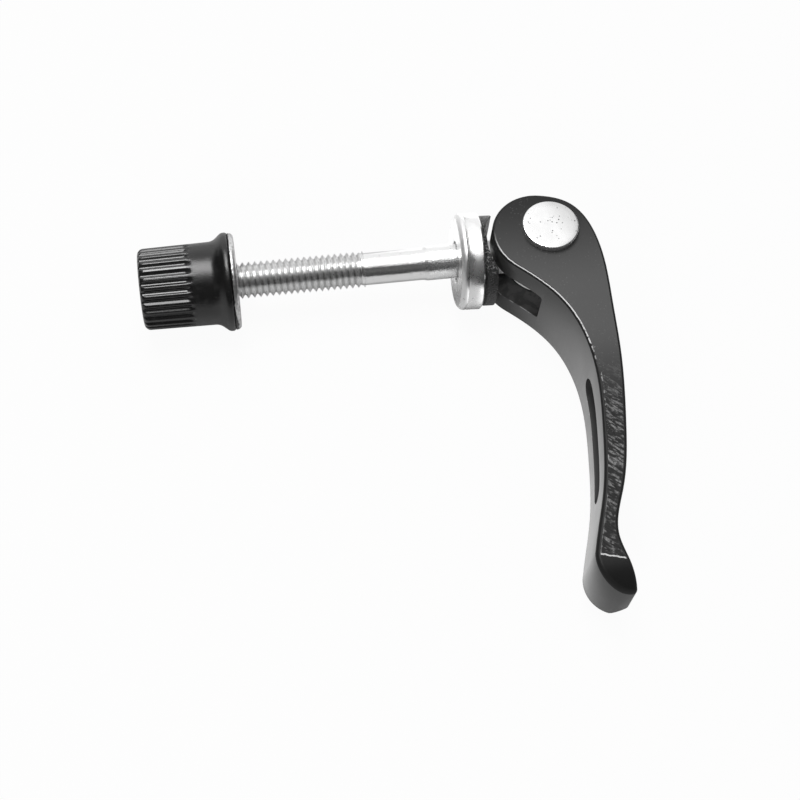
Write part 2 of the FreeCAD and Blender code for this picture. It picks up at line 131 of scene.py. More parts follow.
class BoltSettings(bpy.types.PropertyGroup):
    """Eye bolt: its thread, shank, eye and plating."""

    thread_pitch: length("Thread pitch", "Travel of one turn of the thread", 1.0)
    thread_depth: length("Thread depth", "Crest to root of the thread", 0.7)
    thread_radius: length("Thread radius", "Crest of the thread from the bolt's axis", 2.95)
    thread_start: length("Thread start", "First turn of the thread from the washer's face", 15.25)
    thread_phase: share("Thread phase", "Turn at which the thread starts", 0.15)
    thread_chamfer: length("Thread chamfer", "Bevel at the end of the thread", 0.8)
    end_rounding: length("End rounding", "Rounded edge of the bolt's end", 0.1)
    run_in: length("Run-in", "Length over which the thread rises to its full depth", 1.0)
    blank_radius: length("Blank radius", "Unthreaded part of the thread blank", 2.625)
    shank_radius: length("Shank radius", "Plain shank beside the eye", 2.8)
    shank_reach: length("Shank reach", "Plain shank past the washer's face", 4.85)
    shank_step: length("Shank step", "Length of the step down to the thread blank", 0.6)
    shank_rounding: length("Shank rounding", "Rounded edges of that step", 0.5)
    eye_radius: length("Eye radius", "Outside of the eye", 6.1)
    eye_bore: length("Eye bore", "Radius of the hole for the pin", 3.55)
    eye_thickness: length("Eye thickness", "Eye along the pin", 5.6)
    eye_rounding: length("Eye rounding", "Rounded outer edges of the eye", 0.12)
    bore_rounding: length("Bore rounding", "Rounded edges of the eye's hole", 0.15)
    plate_colour: colour("Plating", "Colour of the bright zinc plating", 0.88)


class PinSettings(bpy.types.PropertyGroup):
    """Pivot pin: its heads, shank and steel."""

    head_radius: length("Head radius", "Flat heads of the pin", 4.575)
    head_height: length("Head height", "Flat heads of the pin", 1.1)
    shank_radius: length("Shank radius", "Pin between its heads", 3.5)
    head_rounding: length("Head rounding", "Rounded edge of the heads", 0.22)
    under_rounding: length("Under rounding", "Rounded edge under the heads", 0.05)
    steel_colour: colour("Steel", "Colour of the bright pin", 0.86)


class LeverSettings(bpy.types.PropertyGroup):
    """Cam lever: its edges, sides, openings and paint. Bevel points are from the pivot."""

    edge_radius: length("Edge radius", "Rounded edges of the lever", 0.42)
    neck_edge: length("Neck edge", "How much rounder the inner edges are at the neck", 0.26)
    neck_start: length("Neck start", "Where they start to grow rounder, below the pivot", 35.0)
    neck_rise: length("Neck rise", "Length over which they grow rounder", 18.0)
    strip: length("Strip", "Length of the strips that the cut sides are split into", 1.0)
    head_half: length("Head half", "Half of the head along the pin", 7.0)
    paddle_half: length("Paddle half", "Half of the thumb end along the pin", 6.0)
    taper_start: length("Taper start", "Where the cut sides start to close, below the pivot", 12.0)
    round_start: length("Round start", "Where the upper side turns down, below the pivot", 56.6)
    bevel_apex: offset("Bevel apex", "Upper end of the thumb end's bevel", -0.155, -53.3, -7.0)
    bevel_inner: offset("Bevel inner end", "Its lower end on the under side", -1.3, -61.6, -6.0)
    bevel_outer: offset("Bevel outer end", "Its lower end on the outer wall", 1.15, -61.6, -2.8)
    hole_radius: length("Hole radius", "Hole for the pin", 3.6)
    slot_half: length("Slot half", "Half of the slot for the eye, along the pin", 3.0)
    slot_reach: length("Slot reach", "Floor of the slot, below the pivot", 10.6)
    slot_corner: length("Slot corner", "Rounded corners of the slot's floor", 0.5)
    window_half: length("Window half", "Half of the long window, along the pin", 2.1)
    window_start: length("Window start", "Upper end of the window, below the pivot", 24.6)
    window_end: length("Window end", "Lower end of the window, below the pivot", 45.6)
    ridge_reach: length("Ridge reach", "Inner end of the pad's ridge, below the pivot", 56.0)
    ridge_side: length("Ridge side", "Inner end of the ridge, from the pivot to the clamp", 4.2)
    ridge_slant: angle("Ridge slant", "Slant of the ridge across the arm", 15.8)
    streaks_start: length("Streaks start", "Where the cut sides turn coarse, below the pivot", 23.0)
    streaks_full: length("Streaks full", "Where they are coarsest, below the pivot", 36.0)
    paint_colour: colour("Paint", "Colour of the satin black paint", 0.012)
    # Painted sheen: colour of the lighter band round the arm's root, where the softbox's highlight
    # falls.
    sheen_colour: colour("Dusty paint", "Colour of the paint on the sides of the head", 0.07)
    # The streaks' colour is partly worn paint, partly painted highlight of ridges catching the
    # lamp.
    streak_colour: colour("Streaks", "Colour of the ridges that the paint has worn from", 0.2)


class WasherSettings(bpy.types.PropertyGroup):
    """Clamp washer and saddle: their sizes, and how the loose pair lies."""

    washer_radius: length("Washer radius", "Outside of the washer", 7.9)
    bore_radius: length("Bore radius", "Hole over the bolt", 3.5)
    front_chamfer: length("Front chamfer", "Bevel on the clamp side", 0.6)
    back_chamfer: length("Back chamfer", "Bevel on the saddle side", 0.25)
    line_place: length("Line place", "Turned line from the front", 1.25)
    line_depth: length("Line depth", "Turned line", 0.12)
    line_half: length("Line half", "Half of the turned line's width", 0.144)
    bore_rounding: length("Bore rounding", "Rounded edges of the hole", 0.12)
    front_rounding: length("Front rounding", "Rounded edges of the front chamfer", 0.7)
    back_rounding: length("Back rounding", "Rounded edges of the back chamfer", 0.1)
    saddle_edge: length("Saddle edge", "Rounded edges of the saddle", 0.12)
    lean: angle("Lean", "Turn of the loose washer and saddle about the upright", -3.0)
    sag_front: length("Sag to the front", "Loose washer and saddle off the bolt's axis", 0.35)
    sag_down: length("Sag", "Loose washer and saddle below the bolt's axis", 0.2)
    saddle_colour: colour("Saddle", "Colour of the black saddle", 0.008)


class NutSettings(bpy.types.PropertyGroup):
    """Thumb nut: its barrel, flutes, rim and insert."""

    flute_count: count_of("Flutes", "Finger flutes round the nut", 28)
    flute_length: length("Flute length", "Flutes from the outer end", 8.2)
    flute_depth: length("Flute depth", "Flutes at the outer end", 0.4)
    flute_run_out: length("Flute run-out", "Sloping inner end of the flutes", 0.6)
    flute_mouth: share("Flute mouth", "Share of the pitch that the flute's mouth takes", 0.68)
    end_rounding: length("End rounding", "Rounded edge of the outer end", 0.95)
    end_radius: length("End radius", "Barrel at the outer end", 6.5)
    neck_radius: length("Neck radius", "Barrel at the flare", 6.7)
    rim_radius: length("Rim radius", "Flared rim", 7.95)
    rim_width: length("Rim width", "Flared rim", 1.0)
    flare_length: length("Flare length", "Flare behind the rim", 1.5)
    neck_rounding: length("Neck rounding", "Hollow between barrel and flare", 2.0)
    flare_rounding: length("Flare rounding", "Rounded edge behind the rim", 1.0)
    rim_rounding: length("Rim rounding", "Rounded front edge of the rim", 0.45)
    end_bore: length("End bore", "Radius of the hole in the outer end", 3.3)
    bore_rounding: length("Bore rounding", "Rounded edge of that hole", 0.2)
    hub_radius: length("Hub radius", "Threaded hub of the insert", 4.9)
    hub_length: length("Hub length", "Threaded hub of the insert behind its face", 10.0)
    hub_rounding: length("Hub rounding", "Rounded edge of the hub's end", 0.2)
    thread_radius: length("Thread radius", "Bore of the insert", 3.0)
    thread_bevel: length("Thread bevel", "Bevel of the bore at the face", 0.4)
    face_radius: length("Face radius", "Metal face of the insert", 7.8)
    face_rounding: length("Face rounding", "Rounded edge of the metal face", 0.7)
    rim_waves: count_of("Rim waves", "Waves round the front edge of the rim", 48)
    wave_depth: length("Wave depth", "Waves round the front edge of the rim", 0.14)
    wave_length: length("Wave length", "Waves along the nut, from its front", 0.2)
    wave_band: length("Wave band", "Waves from the rim inwards", 0.4)
    nut_colour: colour("Nut", "Colour of the black nut", 0.006)
    face_colour: colour("Face", "Colour of the metal face", 0.72)


class StageSettings(bpy.types.PropertyGroup):
    """Camera, lamps, floor and dark cloth."""

    azimuth: angle("Azimuth", "Camera round the pin, from straight in front", -14.706)
    elevation: angle("Elevation", "Camera above the floor", 61.716)
    roll: angle("Roll", "Camera about its own axis", 7.029)
    depth: length("Depth", "Pin from the camera, along the camera's axis", 235.02)
    focal_pixels: share("Focal length", "Focal length in pixels of the photograph", 1415.7)
    pin_column: share("Pin column", "Column of the pin's centre in the photograph", 543.6)
    pin_row: share("Pin row", "Row of the pin's centre in the photograph", 252.5)
    sky_level: share("Sky level", "Light of the plain surroundings", 0.35)
    lamp_power: share("Lamp power", "Softbox above, in watts", 3.0)
    lamp_height: length("Lamp height", "Softbox above the bolt", 600)
    lamp_left: length("Lamp left", "Middle of the softbox, towards the nut", 65)
    lamp_back: length("Lamp back", "Middle of the softbox, towards the far side", 175)
    lamp_width: length("Lamp width", "Softbox along the bolt", 270)
    lamp_depth: length("Lamp depth", "Softbox across the bolt", 410)
    fill_power: share("Fill power", "Small lamp at the front left, in watts", 1.3)
    fill_spot: offset("Fill place", "Small lamp at the front left", -240, -430, 250)
    fill_size: length("Fill size", "Small lamp at the front left", 150)
    floor_half: length("Floor half", "Half of the floor's width", 3000)
    floor_level: share("Floor level", "Share of the light that the floor gives back", 0.56)
    floor_white: share("Floor white", "Share of plain white that the camera sees there", 0.95)
    floor_pool: share("Floor pool", "Light on the floor, as polished faces mirror it", 1.2)
    flag_radius: length("Flag radius", "Dark cloth round the front and the sides", 350)
    flag_height: length("Flag height", "Dark cloth round the front and the sides", 750)
    flag_spread: angle("Flag spread", "Turn that the dark cloth takes round the front", 270)
    flag_colour: colour("Flag", "Colour of the dark cloth", 0.03)


class SkewerSettings(bpy.types.PropertyGroup):
    """All settings of the skewer, by piece."""

    bolt: bpy.props.PointerProperty(type=BoltSettings)
    pin: bpy.props.PointerProperty(type=PinSettings)
    lever: bpy.props.PointerProperty(type=LeverSettings)
    washer: bpy.props.PointerProperty(type=WasherSettings)
    nut: bpy.props.PointerProperty(type=NutSettings)
    stage: bpy.props.PointerProperty(type=StageSettings)


class Wire:
    """A node's output. Arithmetic on it adds Math nodes to its tree."""

    def __init__(self, graph, socket):
        self.graph = graph
        self.socket = socket

    def out(self, name):
        """Another output of the same node."""
        return Wire(self.graph, self.socket.node.outputs[name])

    def __add__(self, other):
        return self.graph.math("ADD", self, other)

    def __sub__(self, other):
        return self.graph.math("SUBTRACT", self, other)

    def __mul__(self, other):
        return self.graph.math("MULTIPLY", self, other)

    def __truediv__(self, other):
        return self.graph.math("DIVIDE", self, other)

    def __radd__(self, other):
        return self.graph.math("ADD", other, self)

    def __rsub__(self, other):
        return self.graph.math("SUBTRACT", other, self)

    def __rmul__(self, other):
        return self.graph.math("MULTIPLY", other, self)


class Graph:
    """A node tree that takes nodes as calls and sums as Python expressions."""

    def __init__(self, tree):
        self.tree = tree

    def node(self, kind, settings=None, sockets=None, output=0):
        """Add a node, set it and its sockets, and return one of its outputs."""
        made = self.tree.nodes.new(kind)
        for name, value in (settings or {}).items():
            setattr(made, name, value)
        for key, value in (sockets or {}).items():
            if isinstance(value, Wire):
                self.tree.links.new(value.socket, made.inputs[key])
            else:
                made.inputs[key].default_value = value
        return Wire(self, made.outputs[output]) if made.outputs else made

    def math(self, operation, *values):
        """A Math node."""
        return self.node("ShaderNodeMath", {"operation": operation}, dict(enumerate(values)))

    def larger(self, first, second):
        return self.math("MAXIMUM", first, second)

    def smaller(self, first, second):
        return self.math("MINIMUM", first, second)

    def axes(self, vector):
        """The x, y and z of a vector."""
        x = self.node("ShaderNodeSeparateXYZ", {}, {"Vector": vector}, "X")
        return x, x.out("Y"), x.out("Z")

    def ease(self, value, start, end):
        """0 before start and 1 after end, smooth between them."""
        sockets = {"Value": value, "From Min": start, "From Max": end}
        return self.node("ShaderNodeMapRange", {"interpolation_type": "SMOOTHSTEP"}, sockets)

    def between(self, value, rise, fall):
        """1 between two soft borders, each a (start, end), and 0 outside them."""
        return self.ease(value, *rise) * (1 - self.ease(value, *fall))

    def mix(self, factor, first, second):
        """A colour between two colours."""
        sockets = {0: factor, 6: first, 7: second}
        return self.node("ShaderNodeMix", {"data_type": "RGBA"}, sockets, output=2)


class Finish(Graph):
    """A material made of one principled shader and what drives it."""

    def __init__(self, name):
        self.material = bpy.data.materials.new(name)
        self.material.use_nodes = True
        super().__init__(self.material.node_tree)
        self.shader = self.tree.nodes["Principled BSDF"]
        self.place = self.node("ShaderNodeTexCoord", output="Object")

    def attribute(self, name):
        """A number that the mesh carries on its points."""
        return self.node("ShaderNodeAttribute", {"attribute_name": name}, output="Fac")

    def noise(self, scale, detail, place=None, distortion=0.0):
        """Noise from 0 to 1, its scale in features a metre."""
        sockets = {"Vector": place or self.place, "Scale": scale, "Detail": detail}
        return self.node("ShaderNodeTexNoise", {}, {**sockets, "Distortion": distortion})

    def band(self, value, start, end, soft):
        """1 between start and end, with soft borders."""
        return self.between(value, (start - soft, start + soft), (end - soft, end + soft))

    def specks(self, scale, size):
        """Round specks scattered about one to a cell, 1 inside and 0 outside."""
        sockets = {"Vector": self.place, "Scale": scale}
        cells = self.node("ShaderNodeTexVoronoi", {}, sockets, "Distance")
        return 1 - self.ease(cells, size * 0.6, size)

    def bump(self, height, distance):
        return self.node("ShaderNodeBump", {}, {"Height": height, "Distance": distance})

    def set(self, **values):
        """Set the shader's sockets, named with underscores, and return the material."""
        for name, value in values.items():
            socket = self.shader.inputs[name.replace("_", " ")]
            if isinstance(value, Wire):
                self.tree.links.new(value.socket, socket)
            else:
                socket.default_value = value
        return self.material


def grey(level):
    """An opaque grey, given as its linear level."""
    return (level, level, level, 1.0)


# Colours of what wears, dulls or dirties the finishes, and of painted shade and painted highlights.
ZINC_PIT = grey(0.35)
ROOT_SHADE = grey(0.2)
WASHER_PIT = grey(0.3)
PIN_SHADE_STEEL = grey(0.4)
STEEL_SPECK = grey(0.12)
BARE_METAL_AND_HIGHLIGHT = grey(0.6)
LINE_HIGHLIGHT = grey(0.55)
WALL_DARK = grey(0.025)
WALL_LIGHT = grey(0.035)
SIDE_BLACK = grey(0.006)
SADDLE_GRAIN_HIGHLIGHT = grey(0.2)
NUT_SCUFF = grey(0.015)
FACE_PATCH_AND_SHADE = grey(0.2)
FLASH_BLACK = grey(0.01)

# Streaks on the lever's sides: their turn, and how far the noise is stretched along them.
STREAK_TURN = (0.0, 0.0, math.radians(-42))
STREAK_STRETCH = (4.2, 1.0, 4.2)

# Thin pale lines on the lever, each a (start, end, softness) from the edge it follows: worn paint
# with a painted highlight along the cam, painted highlights at the slot, the ridge and the inner
# edge, and bare metal at the window's nicks.
CAM_WEAR_HIGHLIGHT = (0.24 * MM, 0.42 * MM, 0.05 * MM)
SLOT_EDGE_HIGHLIGHT = (-0.16 * MM, -0.02 * MM, 0.03 * MM)
WINDOW_LINE = (-0.22 * MM, -0.05 * MM, 0.03 * MM)
RIDGE_HIGHLIGHT = (-0.3 * MM, -0.04 * MM, 0.05 * MM)
INNER_EDGE_HIGHLIGHT = (0.58 * MM, 0.74 * MM, 0.07 * MM)

# Soft borders of the finishes, each a (start, end).
# Bolt: along it, and from its axis.
EYE_DULL = (WASHER_BACK, WASHER_BACK + 3 * MM)
SHANK_GRAIN = (WASHER_FRONT - 8 * MM, WASHER_FRONT - 3 * MM)
THREAD_FADE = 1 * MM
THREAD_ROOT = (2.36 * MM, 2.56 * MM)
# Pin: across its head, where its painted shade grows.
PIN_SHADED_SIDE = (0.0, 4.5 * MM)
# Washer and saddle: height, and depth behind the washer's front. The saddle's painted grain
# highlights grow with height.
WASHER_PITTED = (0.0, 3 * MM)
BEVEL_START = (0.05 * MM, 0.2 * MM)
BEVEL_END = (0.5 * MM, 1.0 * MM)
SADDLE_LIT_HEIGHT = (3.5 * MM, 6 * MM)
# Nut: along it, across the flutes that fingers polish, and up its face, which is painted darker low
# down as shade.
FLUTES_END = (NUT_END + 7.4 * MM, NUT_END + 8.2 * MM)
HANDLED_START = (-6 * MM, -3.5 * MM)
HANDLED_END = (0.5 * MM, 3.5 * MM)
FACE_SHADE_LOW = (-1 * MM, 3 * MM)
FLASH_EDGE = (0.1 * MM, 0.16 * MM)
# Lever: height of the cam's upper edge, and places below the pivot.
CAM_EDGE = (6.6 * MM, 6.75 * MM)
WORN_LIT_EDGE_START = (-1 * MM, 5 * MM)
WORN_LIT_EDGE_BREAKS = (14 * MM, 24 * MM)
WORN_LIT_EDGE_END = (22 * MM, 27 * MM)
# Rise and fall of the painted sheen on the lever's sides.
SHEEN_START = (-8 * MM, 12 * MM)
SHEEN_END = (18 * MM, 34 * MM)
SPECKS_START = (12 * MM, 28 * MM)
SPECKS_END = (34 * MM, 46 * MM)
DOTS_START = (20 * MM, 26 * MM)
NICKS_START = (26 * MM, 28 * MM)
NICKS_END = (38 * MM, 40 * MM)
STREAKS_THIN = (42 * MM, 50 * MM)
TIP_LINE_START = (46 * MM, 54 * MM)
# Lever: distances from its inner and outer edge inside which the sides stay plain.
PLAIN_INNER = (0.5 * MM, 0.7 * MM)
PLAIN_OUTER = (0.45 * MM, 0.65 * MM)


def zinc_plate(level, thread_start):
    """Bright zinc plating: pitted in places, with painted shade in the thread's roots, duller at
    the eye.
    """
    finish = Finish("zinc_plate")
    x, y, z = finish.axes(finish.place)
    radius = finish.math("SQRT", y * y + z * z)
    dull = finish.ease(x, *EYE_DULL)
    on_thread = 1 - finish.ease(x, thread_start - THREAD_FADE, thread_start)
    on_shank = finish.ease(x, *SHANK_GRAIN)
    # Painted shade: the thread's roots are mixed darker, where shade falls between the flanks.
    root_shade = on_thread * (1 - finish.ease(radius, *THREAD_ROOT))
    waves = finish.noise(420.0, 2.0)
    grain = finish.noise(4600.0, 3.0)
    pits = finish.specks(1700.0, 0.16) * finish.ease(finish.noise(300.0, 2.0), 0.48, 0.6)
    coarse = 1 - on_thread * 0.8 + on_shank * 1.6
    plate = finish.mix(pits * 0.5 + grain * 0.1, tuple(level), ZINC_PIT)
    polish = finish.ease(grain, 0.2, 0.9) * 0.12 + 0.14
    return finish.set(
        Base_Color=finish.mix(root_shade * 0.5, plate, ROOT_SHADE),
        Metallic=1 - dull * 0.9,
        Roughness=polish + dull * 0.3 + on_thread * 0.1 + on_shank * 0.08,
        Normal=finish.bump(waves * 0.45 + (grain * 0.13 - pits * 0.15) * coarse, 0.12 * MM),
    )


def washer_plate(level, lean):
    """Turned zinc plating with faint dull patches, duller on the bevel and pitted low down."""
    finish = Finish("washer_plate")
    x, y, z = finish.axes(finish.place)
    depth = x + y * math.tan(lean) - WASHER_FRONT
    bevel = finish.between(depth, BEVEL_START, BEVEL_END)
    grain = finish.noise(4200.0, 3.0)
    dull = finish.ease(finish.noise(430.0, 4.0), 0.42, 0.6)
    pits = finish.specks(1500.0, 0.26) * finish.ease(finish.noise(420.0, 2.0), 0.4, 0.55)
    pits = pits * (1 - finish.ease(z, *WASHER_PITTED))
    return finish.set(
        Base_Color=finish.mix(pits * 0.6, tuple(level), WASHER_PIT),
        Metallic=1.0,
        Roughness=dull * 0.1 + bevel * 0.26 + 0.22,
        Normal=finish.bump(grain * 0.1 - pits * 0.3, 0.12 * MM),
    )


def pin_steel(level):
    """Plain bright steel with painted shade towards one side, and faint specks."""
    finish = Finish("pin_steel")
    x, y, _ = finish.axes(finish.place)
    haze = finish.noise(520.0, 3.0)
    across = x - PIVOT.x + y * 0.5 + (haze - 0.5) * (4 * MM)
    # Painted shade: the head is mixed greyer towards one side, as the light falls off across it.
    dull = finish.ease(across, *PIN_SHADED_SIDE)
    specked = finish.ease(finish.noise(420.0, 2.0) + dull * 0.1, 0.5, 0.58)
    steel = finish.mix(dull * 0.42, tuple(level), PIN_SHADE_STEEL)
    return finish.set(
        Base_Color=finish.mix(finish.specks(1500.0, 0.22) * specked, steel, STEEL_SPECK),
        Metallic=1.0,
        Roughness=haze * 0.1 + 0.14,
        Normal=finish.bump(haze, 0.02 * MM),
    )


def cam_wear_and_highlight(finish, row, height):
    """Worn paint and a painted highlight along the cam's upper edge, broken up towards the arm: 1
    where it is pale.
    """
    reach = PIVOT.y - row
    chips = finish.noise(1500.0, 3.0)
    from_inner = finish.attribute(FROM_INNER) + (chips - 0.5) * (0.15 * MM)
    # Worn paint and a painted highlight: the band where the rounded cam edge catches the lamp is
    # mixed pale.
    line = finish.band(from_inner, *CAM_WEAR_HIGHLIGHT)
    whole = 1 - finish.ease(reach, *WORN_LIT_EDGE_BREAKS)
    broken = finish.ease(chips + whole * 0.3, 0.4, 0.64)
    fades = finish.between(reach, WORN_LIT_EDGE_START, WORN_LIT_EDGE_END)
    return line * finish.ease(height, *CAM_EDGE) * broken * fades


def wall_paint(settings):
    """Satin black paint on the smooth walls of the lever, with a painted highlight along the slot's
    edge, nicks of bare metal at the window, and worn paint with a painted highlight along the cam.
    """
    finish = Finish("lever_wall_paint")
    _, y, z = finish.axes(finish.place)
    cloud = finish.noise(220.0, 3.0)
    slot_floor = PIVOT.y - settings.slot_reach
    # Painted highlight along the slot's lower edge, which is cut sharp and has no rounding to catch
    # the light.
    slot_highlight = finish.band(z + settings.slot_half, *SLOT_EDGE_HIGHLIGHT)
    slot_highlight = slot_highlight * finish.ease(y, slot_floor, slot_floor + 0.4 * MM)
    slot_highlight = slot_highlight * finish.ease(finish.noise(900.0, 3.0), 0.46, 0.56)
    nicks = finish.band(z + settings.window_half, *WINDOW_LINE)
    nicks = nicks * finish.between(PIVOT.y - y, NICKS_START, NICKS_END)
    nicks = nicks * finish.ease(finish.noise(1100.0, 3.0), 0.58, 0.63)
    wear_and_highlights = finish.larger(cam_wear_and_highlight(finish, y, z), finish.larger(slot_highlight * 0.6, nicks))
    paint = finish.mix(cloud * 0.5, WALL_DARK, WALL_LIGHT)
    return finish.set(
        Base_Color=finish.mix(wear_and_highlights, paint, BARE_METAL_AND_HIGHLIGHT),
        Roughness=cloud * 0.1 + 0.3,
        Normal=finish.bump(finish.noise(5200.0, 2.0), 0.012 * MM),
    )


def side_paint(settings):
    """Satin paint on the cut sides: fine specks at the head, a painted sheen round the arm's root,
    slanting streaks down the arm lightened as worn paint and as painted highlight, and painted
    highlight lines along the ridge and the inner edge.
    """
    finish = Finish("lever_side_paint")
    x, y, z = finish.axes(finish.place)
    reach = PIVOT.y - y
    from_inner = finish.attribute(FROM_INNER)
    from_outer = finish.attribute(FROM_OUTER)
    inside = finish.ease(from_inner, *PLAIN_INNER) * finish.ease(from_outer, *PLAIN_OUTER)
    grain = finish.noise(5200.0, 3.0)
    clumps = finish.noise(300.0, 2.0)
    ragged = finish.noise(1700.0, 3.0)
    jitter = ragged - 0.5

    sockets = {"Vector": finish.place, "Rotation": STREAK_TURN, "Scale": STREAK_STRETCH}
    slanted = finish.node("ShaderNodeMapping", {"vector_type": "TEXTURE"}, sockets)
    folds = finish.noise(2900.0, 2.0, slanted, 0.2)
    coarse = finish.ease(reach, settings.streaks_start, settings.streaks_full)
    sparse = finish.ease(reach, *STREAKS_THIN)
    broken = finish.ease(ragged + clumps * 0.35 - sparse * 0.14, 0.4, 0.74)
    streaks = finish.ease(folds, 0.48, 0.62) * broken * coarse * inside

    specks = finish.specks(1900.0, 0.2) * finish.ease(clumps, 0.42, 0.6) * 0.3
    dust = finish.specks(2600.0, 0.24) * finish.between(reach, SPECKS_START, SPECKS_END)
    dust = dust * finish.ease(ragged, 0.42, 0.55) * 0.5
    specks = finish.larger(specks, dust) * inside
    # The streaks are mixed lighter: partly worn paint on the ridges, partly painted highlight where
    # the ridges catch the lamp.
    streaks_and_specks = finish.larger(streaks * finish.ease(grain, 0.2, 0.6), specks)

    # Painted highlights: pale lines along the pad's ridge and just inside the inner edge's
    # rounding, where they would catch the lamp.
    slope = (x - (PIVOT.x - settings.ridge_side)) * math.tan(settings.ridge_slant)
    past_ridge = reach - settings.ridge_reach - slope + jitter * (0.5 * MM)
    ridge = finish.band(past_ridge, *RIDGE_HIGHLIGHT) * inside
    inner_highlight = finish.band(from_inner + jitter * (0.3 * MM), *INNER_EDGE_HIGHLIGHT)
    dotted = finish.ease(ragged, 0.55, 0.62) * finish.ease(reach, *DOTS_START)
    along_tip = finish.ease(reach + jitter * (30 * MM), *TIP_LINE_START)
    inner_highlight = inner_highlight * finish.larger(along_tip, dotted)
    lines = finish.larger(ridge, inner_highlight * 0.55)

    # Painted sheen: lighter paint in a band round the arm's root, standing in for the softbox's
    # broad highlight there.
    painted_sheen = finish.between(reach, SHEEN_START, SHEEN_END)
    paint = finish.mix(painted_sheen, SIDE_BLACK, tuple(settings.sheen_colour))
    paint = finish.mix(streaks_and_specks, paint, tuple(settings.streak_colour))
    paint = finish.mix(lines, paint, LINE_HIGHLIGHT)
    relief = (folds * 0.5 + grain * 0.12) * coarse + grain * 0.06 + lines * 0.5
    return finish.set(
        Base_Color=finish.mix(cam_wear_and_highlight(finish, y, z), paint, BARE_METAL_AND_HIGHLIGHT),
        Roughness=finish.ease(grain, 0.2, 0.9) * 0.12 + 0.4,
        Specular_IOR_Level=0.2,
        Normal=finish.bump(relief, 0.16 * MM),
    )


def edge_paint(settings):
    """Deep black of the lever's rounded edges, with worn paint and a painted highlight along the
    cam.
    """
    finish = Finish("lever_edge_paint")
    _, y, z = finish.axes(finish.place)
    return finish.set(
        Base_Color=finish.mix(cam_wear_and_highlight(finish, y, z), tuple(settings.paint_colour), BARE_METAL_AND_HIGHLIGHT),
        Roughness=finish.noise(300.0, 3.0) * 0.1 + 0.36,
        Specular_IOR_Level=0.14,
    )


def tip_paint(settings):
    """Smooth deep black of the thumb pad."""
    finish = Finish("lever_tip_paint")
    cloud = finish.noise(300.0, 3.0)
    level = settings.paint_colour
    return finish.set(
        Base_Color=finish.mix(cloud * 0.4, grey(level[0] * 0.7), tuple(level)),
        Roughness=cloud * 0.08 + 0.36,
        Specular_IOR_Level=0.14,
        Normal=finish.bump(finish.noise(4200.0, 2.0), 0.008 * MM),
    )


def saddle_plastic(level):
    """Matt black plastic with a coarse moulded grain, with painted highlights on the grain towards
    its upper end.
    """
    finish = Finish("saddle_plastic")
    _, _, z = finish.axes(finish.place)
    grain = finish.noise(3600.0, 3.0)
    # Painted highlight: grains towards the saddle's upper end are mixed pale, as if catching the
    # light.
    grain_highlight = finish.ease(grain, 0.54, 0.64) * finish.ease(z, *SADDLE_LIT_HEIGHT)
    return finish.set(
        Base_Color=finish.mix(grain_highlight, tuple(level), SADDLE_GRAIN_HIGHLIGHT),
        Roughness=finish.noise(400.0, 2.0) * 0.14 + 0.3,
        Normal=finish.bump(grain, 0.34 * MM),
    )


def nut_black(level):
    """Satin black of the thumb nut, a little scuffed, its flutes polished by handling."""
    finish = Finish("nut_black")
    x, y, _ = finish.axes(finish.place)
    grain = finish.noise(4600.0, 3.0)
    scuffs = finish.noise(700.0, 4.0)
    on_flutes = 1 - finish.ease(x, *FLUTES_END)
    handled = finish.between(y, HANDLED_START, HANDLED_END)
    return finish.set(
        Base_Color=finish.mix(finish.ease(scuffs, 0.5, 0.8), tuple(level), NUT_SCUFF),
        Roughness=scuffs * 0.14 + 0.16,
        Coat_Weight=on_flutes * handled * 0.7,
        Coat_Roughness=0.12,
        Normal=finish.bump(grain * (1 - on_flutes * 0.7), 0.035 * MM),
    )


def face_metal(level):
    """Turned bright metal of the nut's face, with a ragged black flash at the grip, and painted
    shade low down.
    """
    finish = Finish("nut_face_metal")
    x, _, z = finish.axes(finish.place)
    grain = finish.noise(2600.0, 4.0)
    # Painted shade: low down the face is mixed duller, and the black flash reaches further in.
    low = 1 - finish.ease(z, *FACE_SHADE_LOW)
    ragged = (finish.noise(1500.0, 2.0) - 0.5) * (0.5 * MM)
    flash = 1 - finish.ease(x - NUT_FRONT + ragged - low * (0.3 * MM), *FLASH_EDGE)
    patches = finish.ease(finish.noise(420.0, 4.0), 0.45, 0.6)
    dull = finish.ease(grain, 0.45, 0.75) * 0.5 + patches * 0.3 + low * 0.2
    metal = finish.mix(dull, tuple(level), FACE_PATCH_AND_SHADE)
    return finish.set(
        Base_Color=finish.mix(flash, metal, FLASH_BLACK),
        Metallic=1 - flash,
        Roughness=grain * 0.3 + 0.2,
        Normal=finish.bump(grain, 0.08 * MM),
    )


def softened(corners, steps=4):
    """Points of an outline whose corners, each (place, radius, rounding), are round."""
    points = []
    count = len(corners)
    for index, (place, radius, rounding) in enumerate(corners):
        corner = Vector((place, radius))
        if rounding == 0:
            points.append(corner)
            continue
        before = (Vector(corners[index - 1][:2]) - corner).normalized()
        after = (Vector(corners[(index + 1) % count][:2]) - corner).normalized()
        half = before.angle(after) / 2
        middle = corner + (before + after).normalized() * (rounding / math.sin(half))
        start = corner + before * (rounding / math.tan(half)) - middle
        end = corner + after * (rounding / math.tan(half)) - middle
        for step in range(steps + 1):
            points.append(middle + start.slerp(end, step / steps) * rounding)
    return points


def divided(points, spacing):
    """The same outline with long runs split into steps no longer than spacing."""
    result = [points[0]]
    for first, second in zip(points, points[1:]):
        count = max(1, math.ceil((second - first).length / spacing))
        result += [first.lerp(second, step / count) for step in range(1, count + 1)]
    return result


def bare_graph(holder):
    """The emptied node tree of a material or a world."""
    holder.use_nodes = True
    holder.node_tree.nodes.clear()
    return Graph(holder.node_tree)


def clamped(value):
    """A number held between 0 and 1."""
    return min(1.0, max(0.0, value))


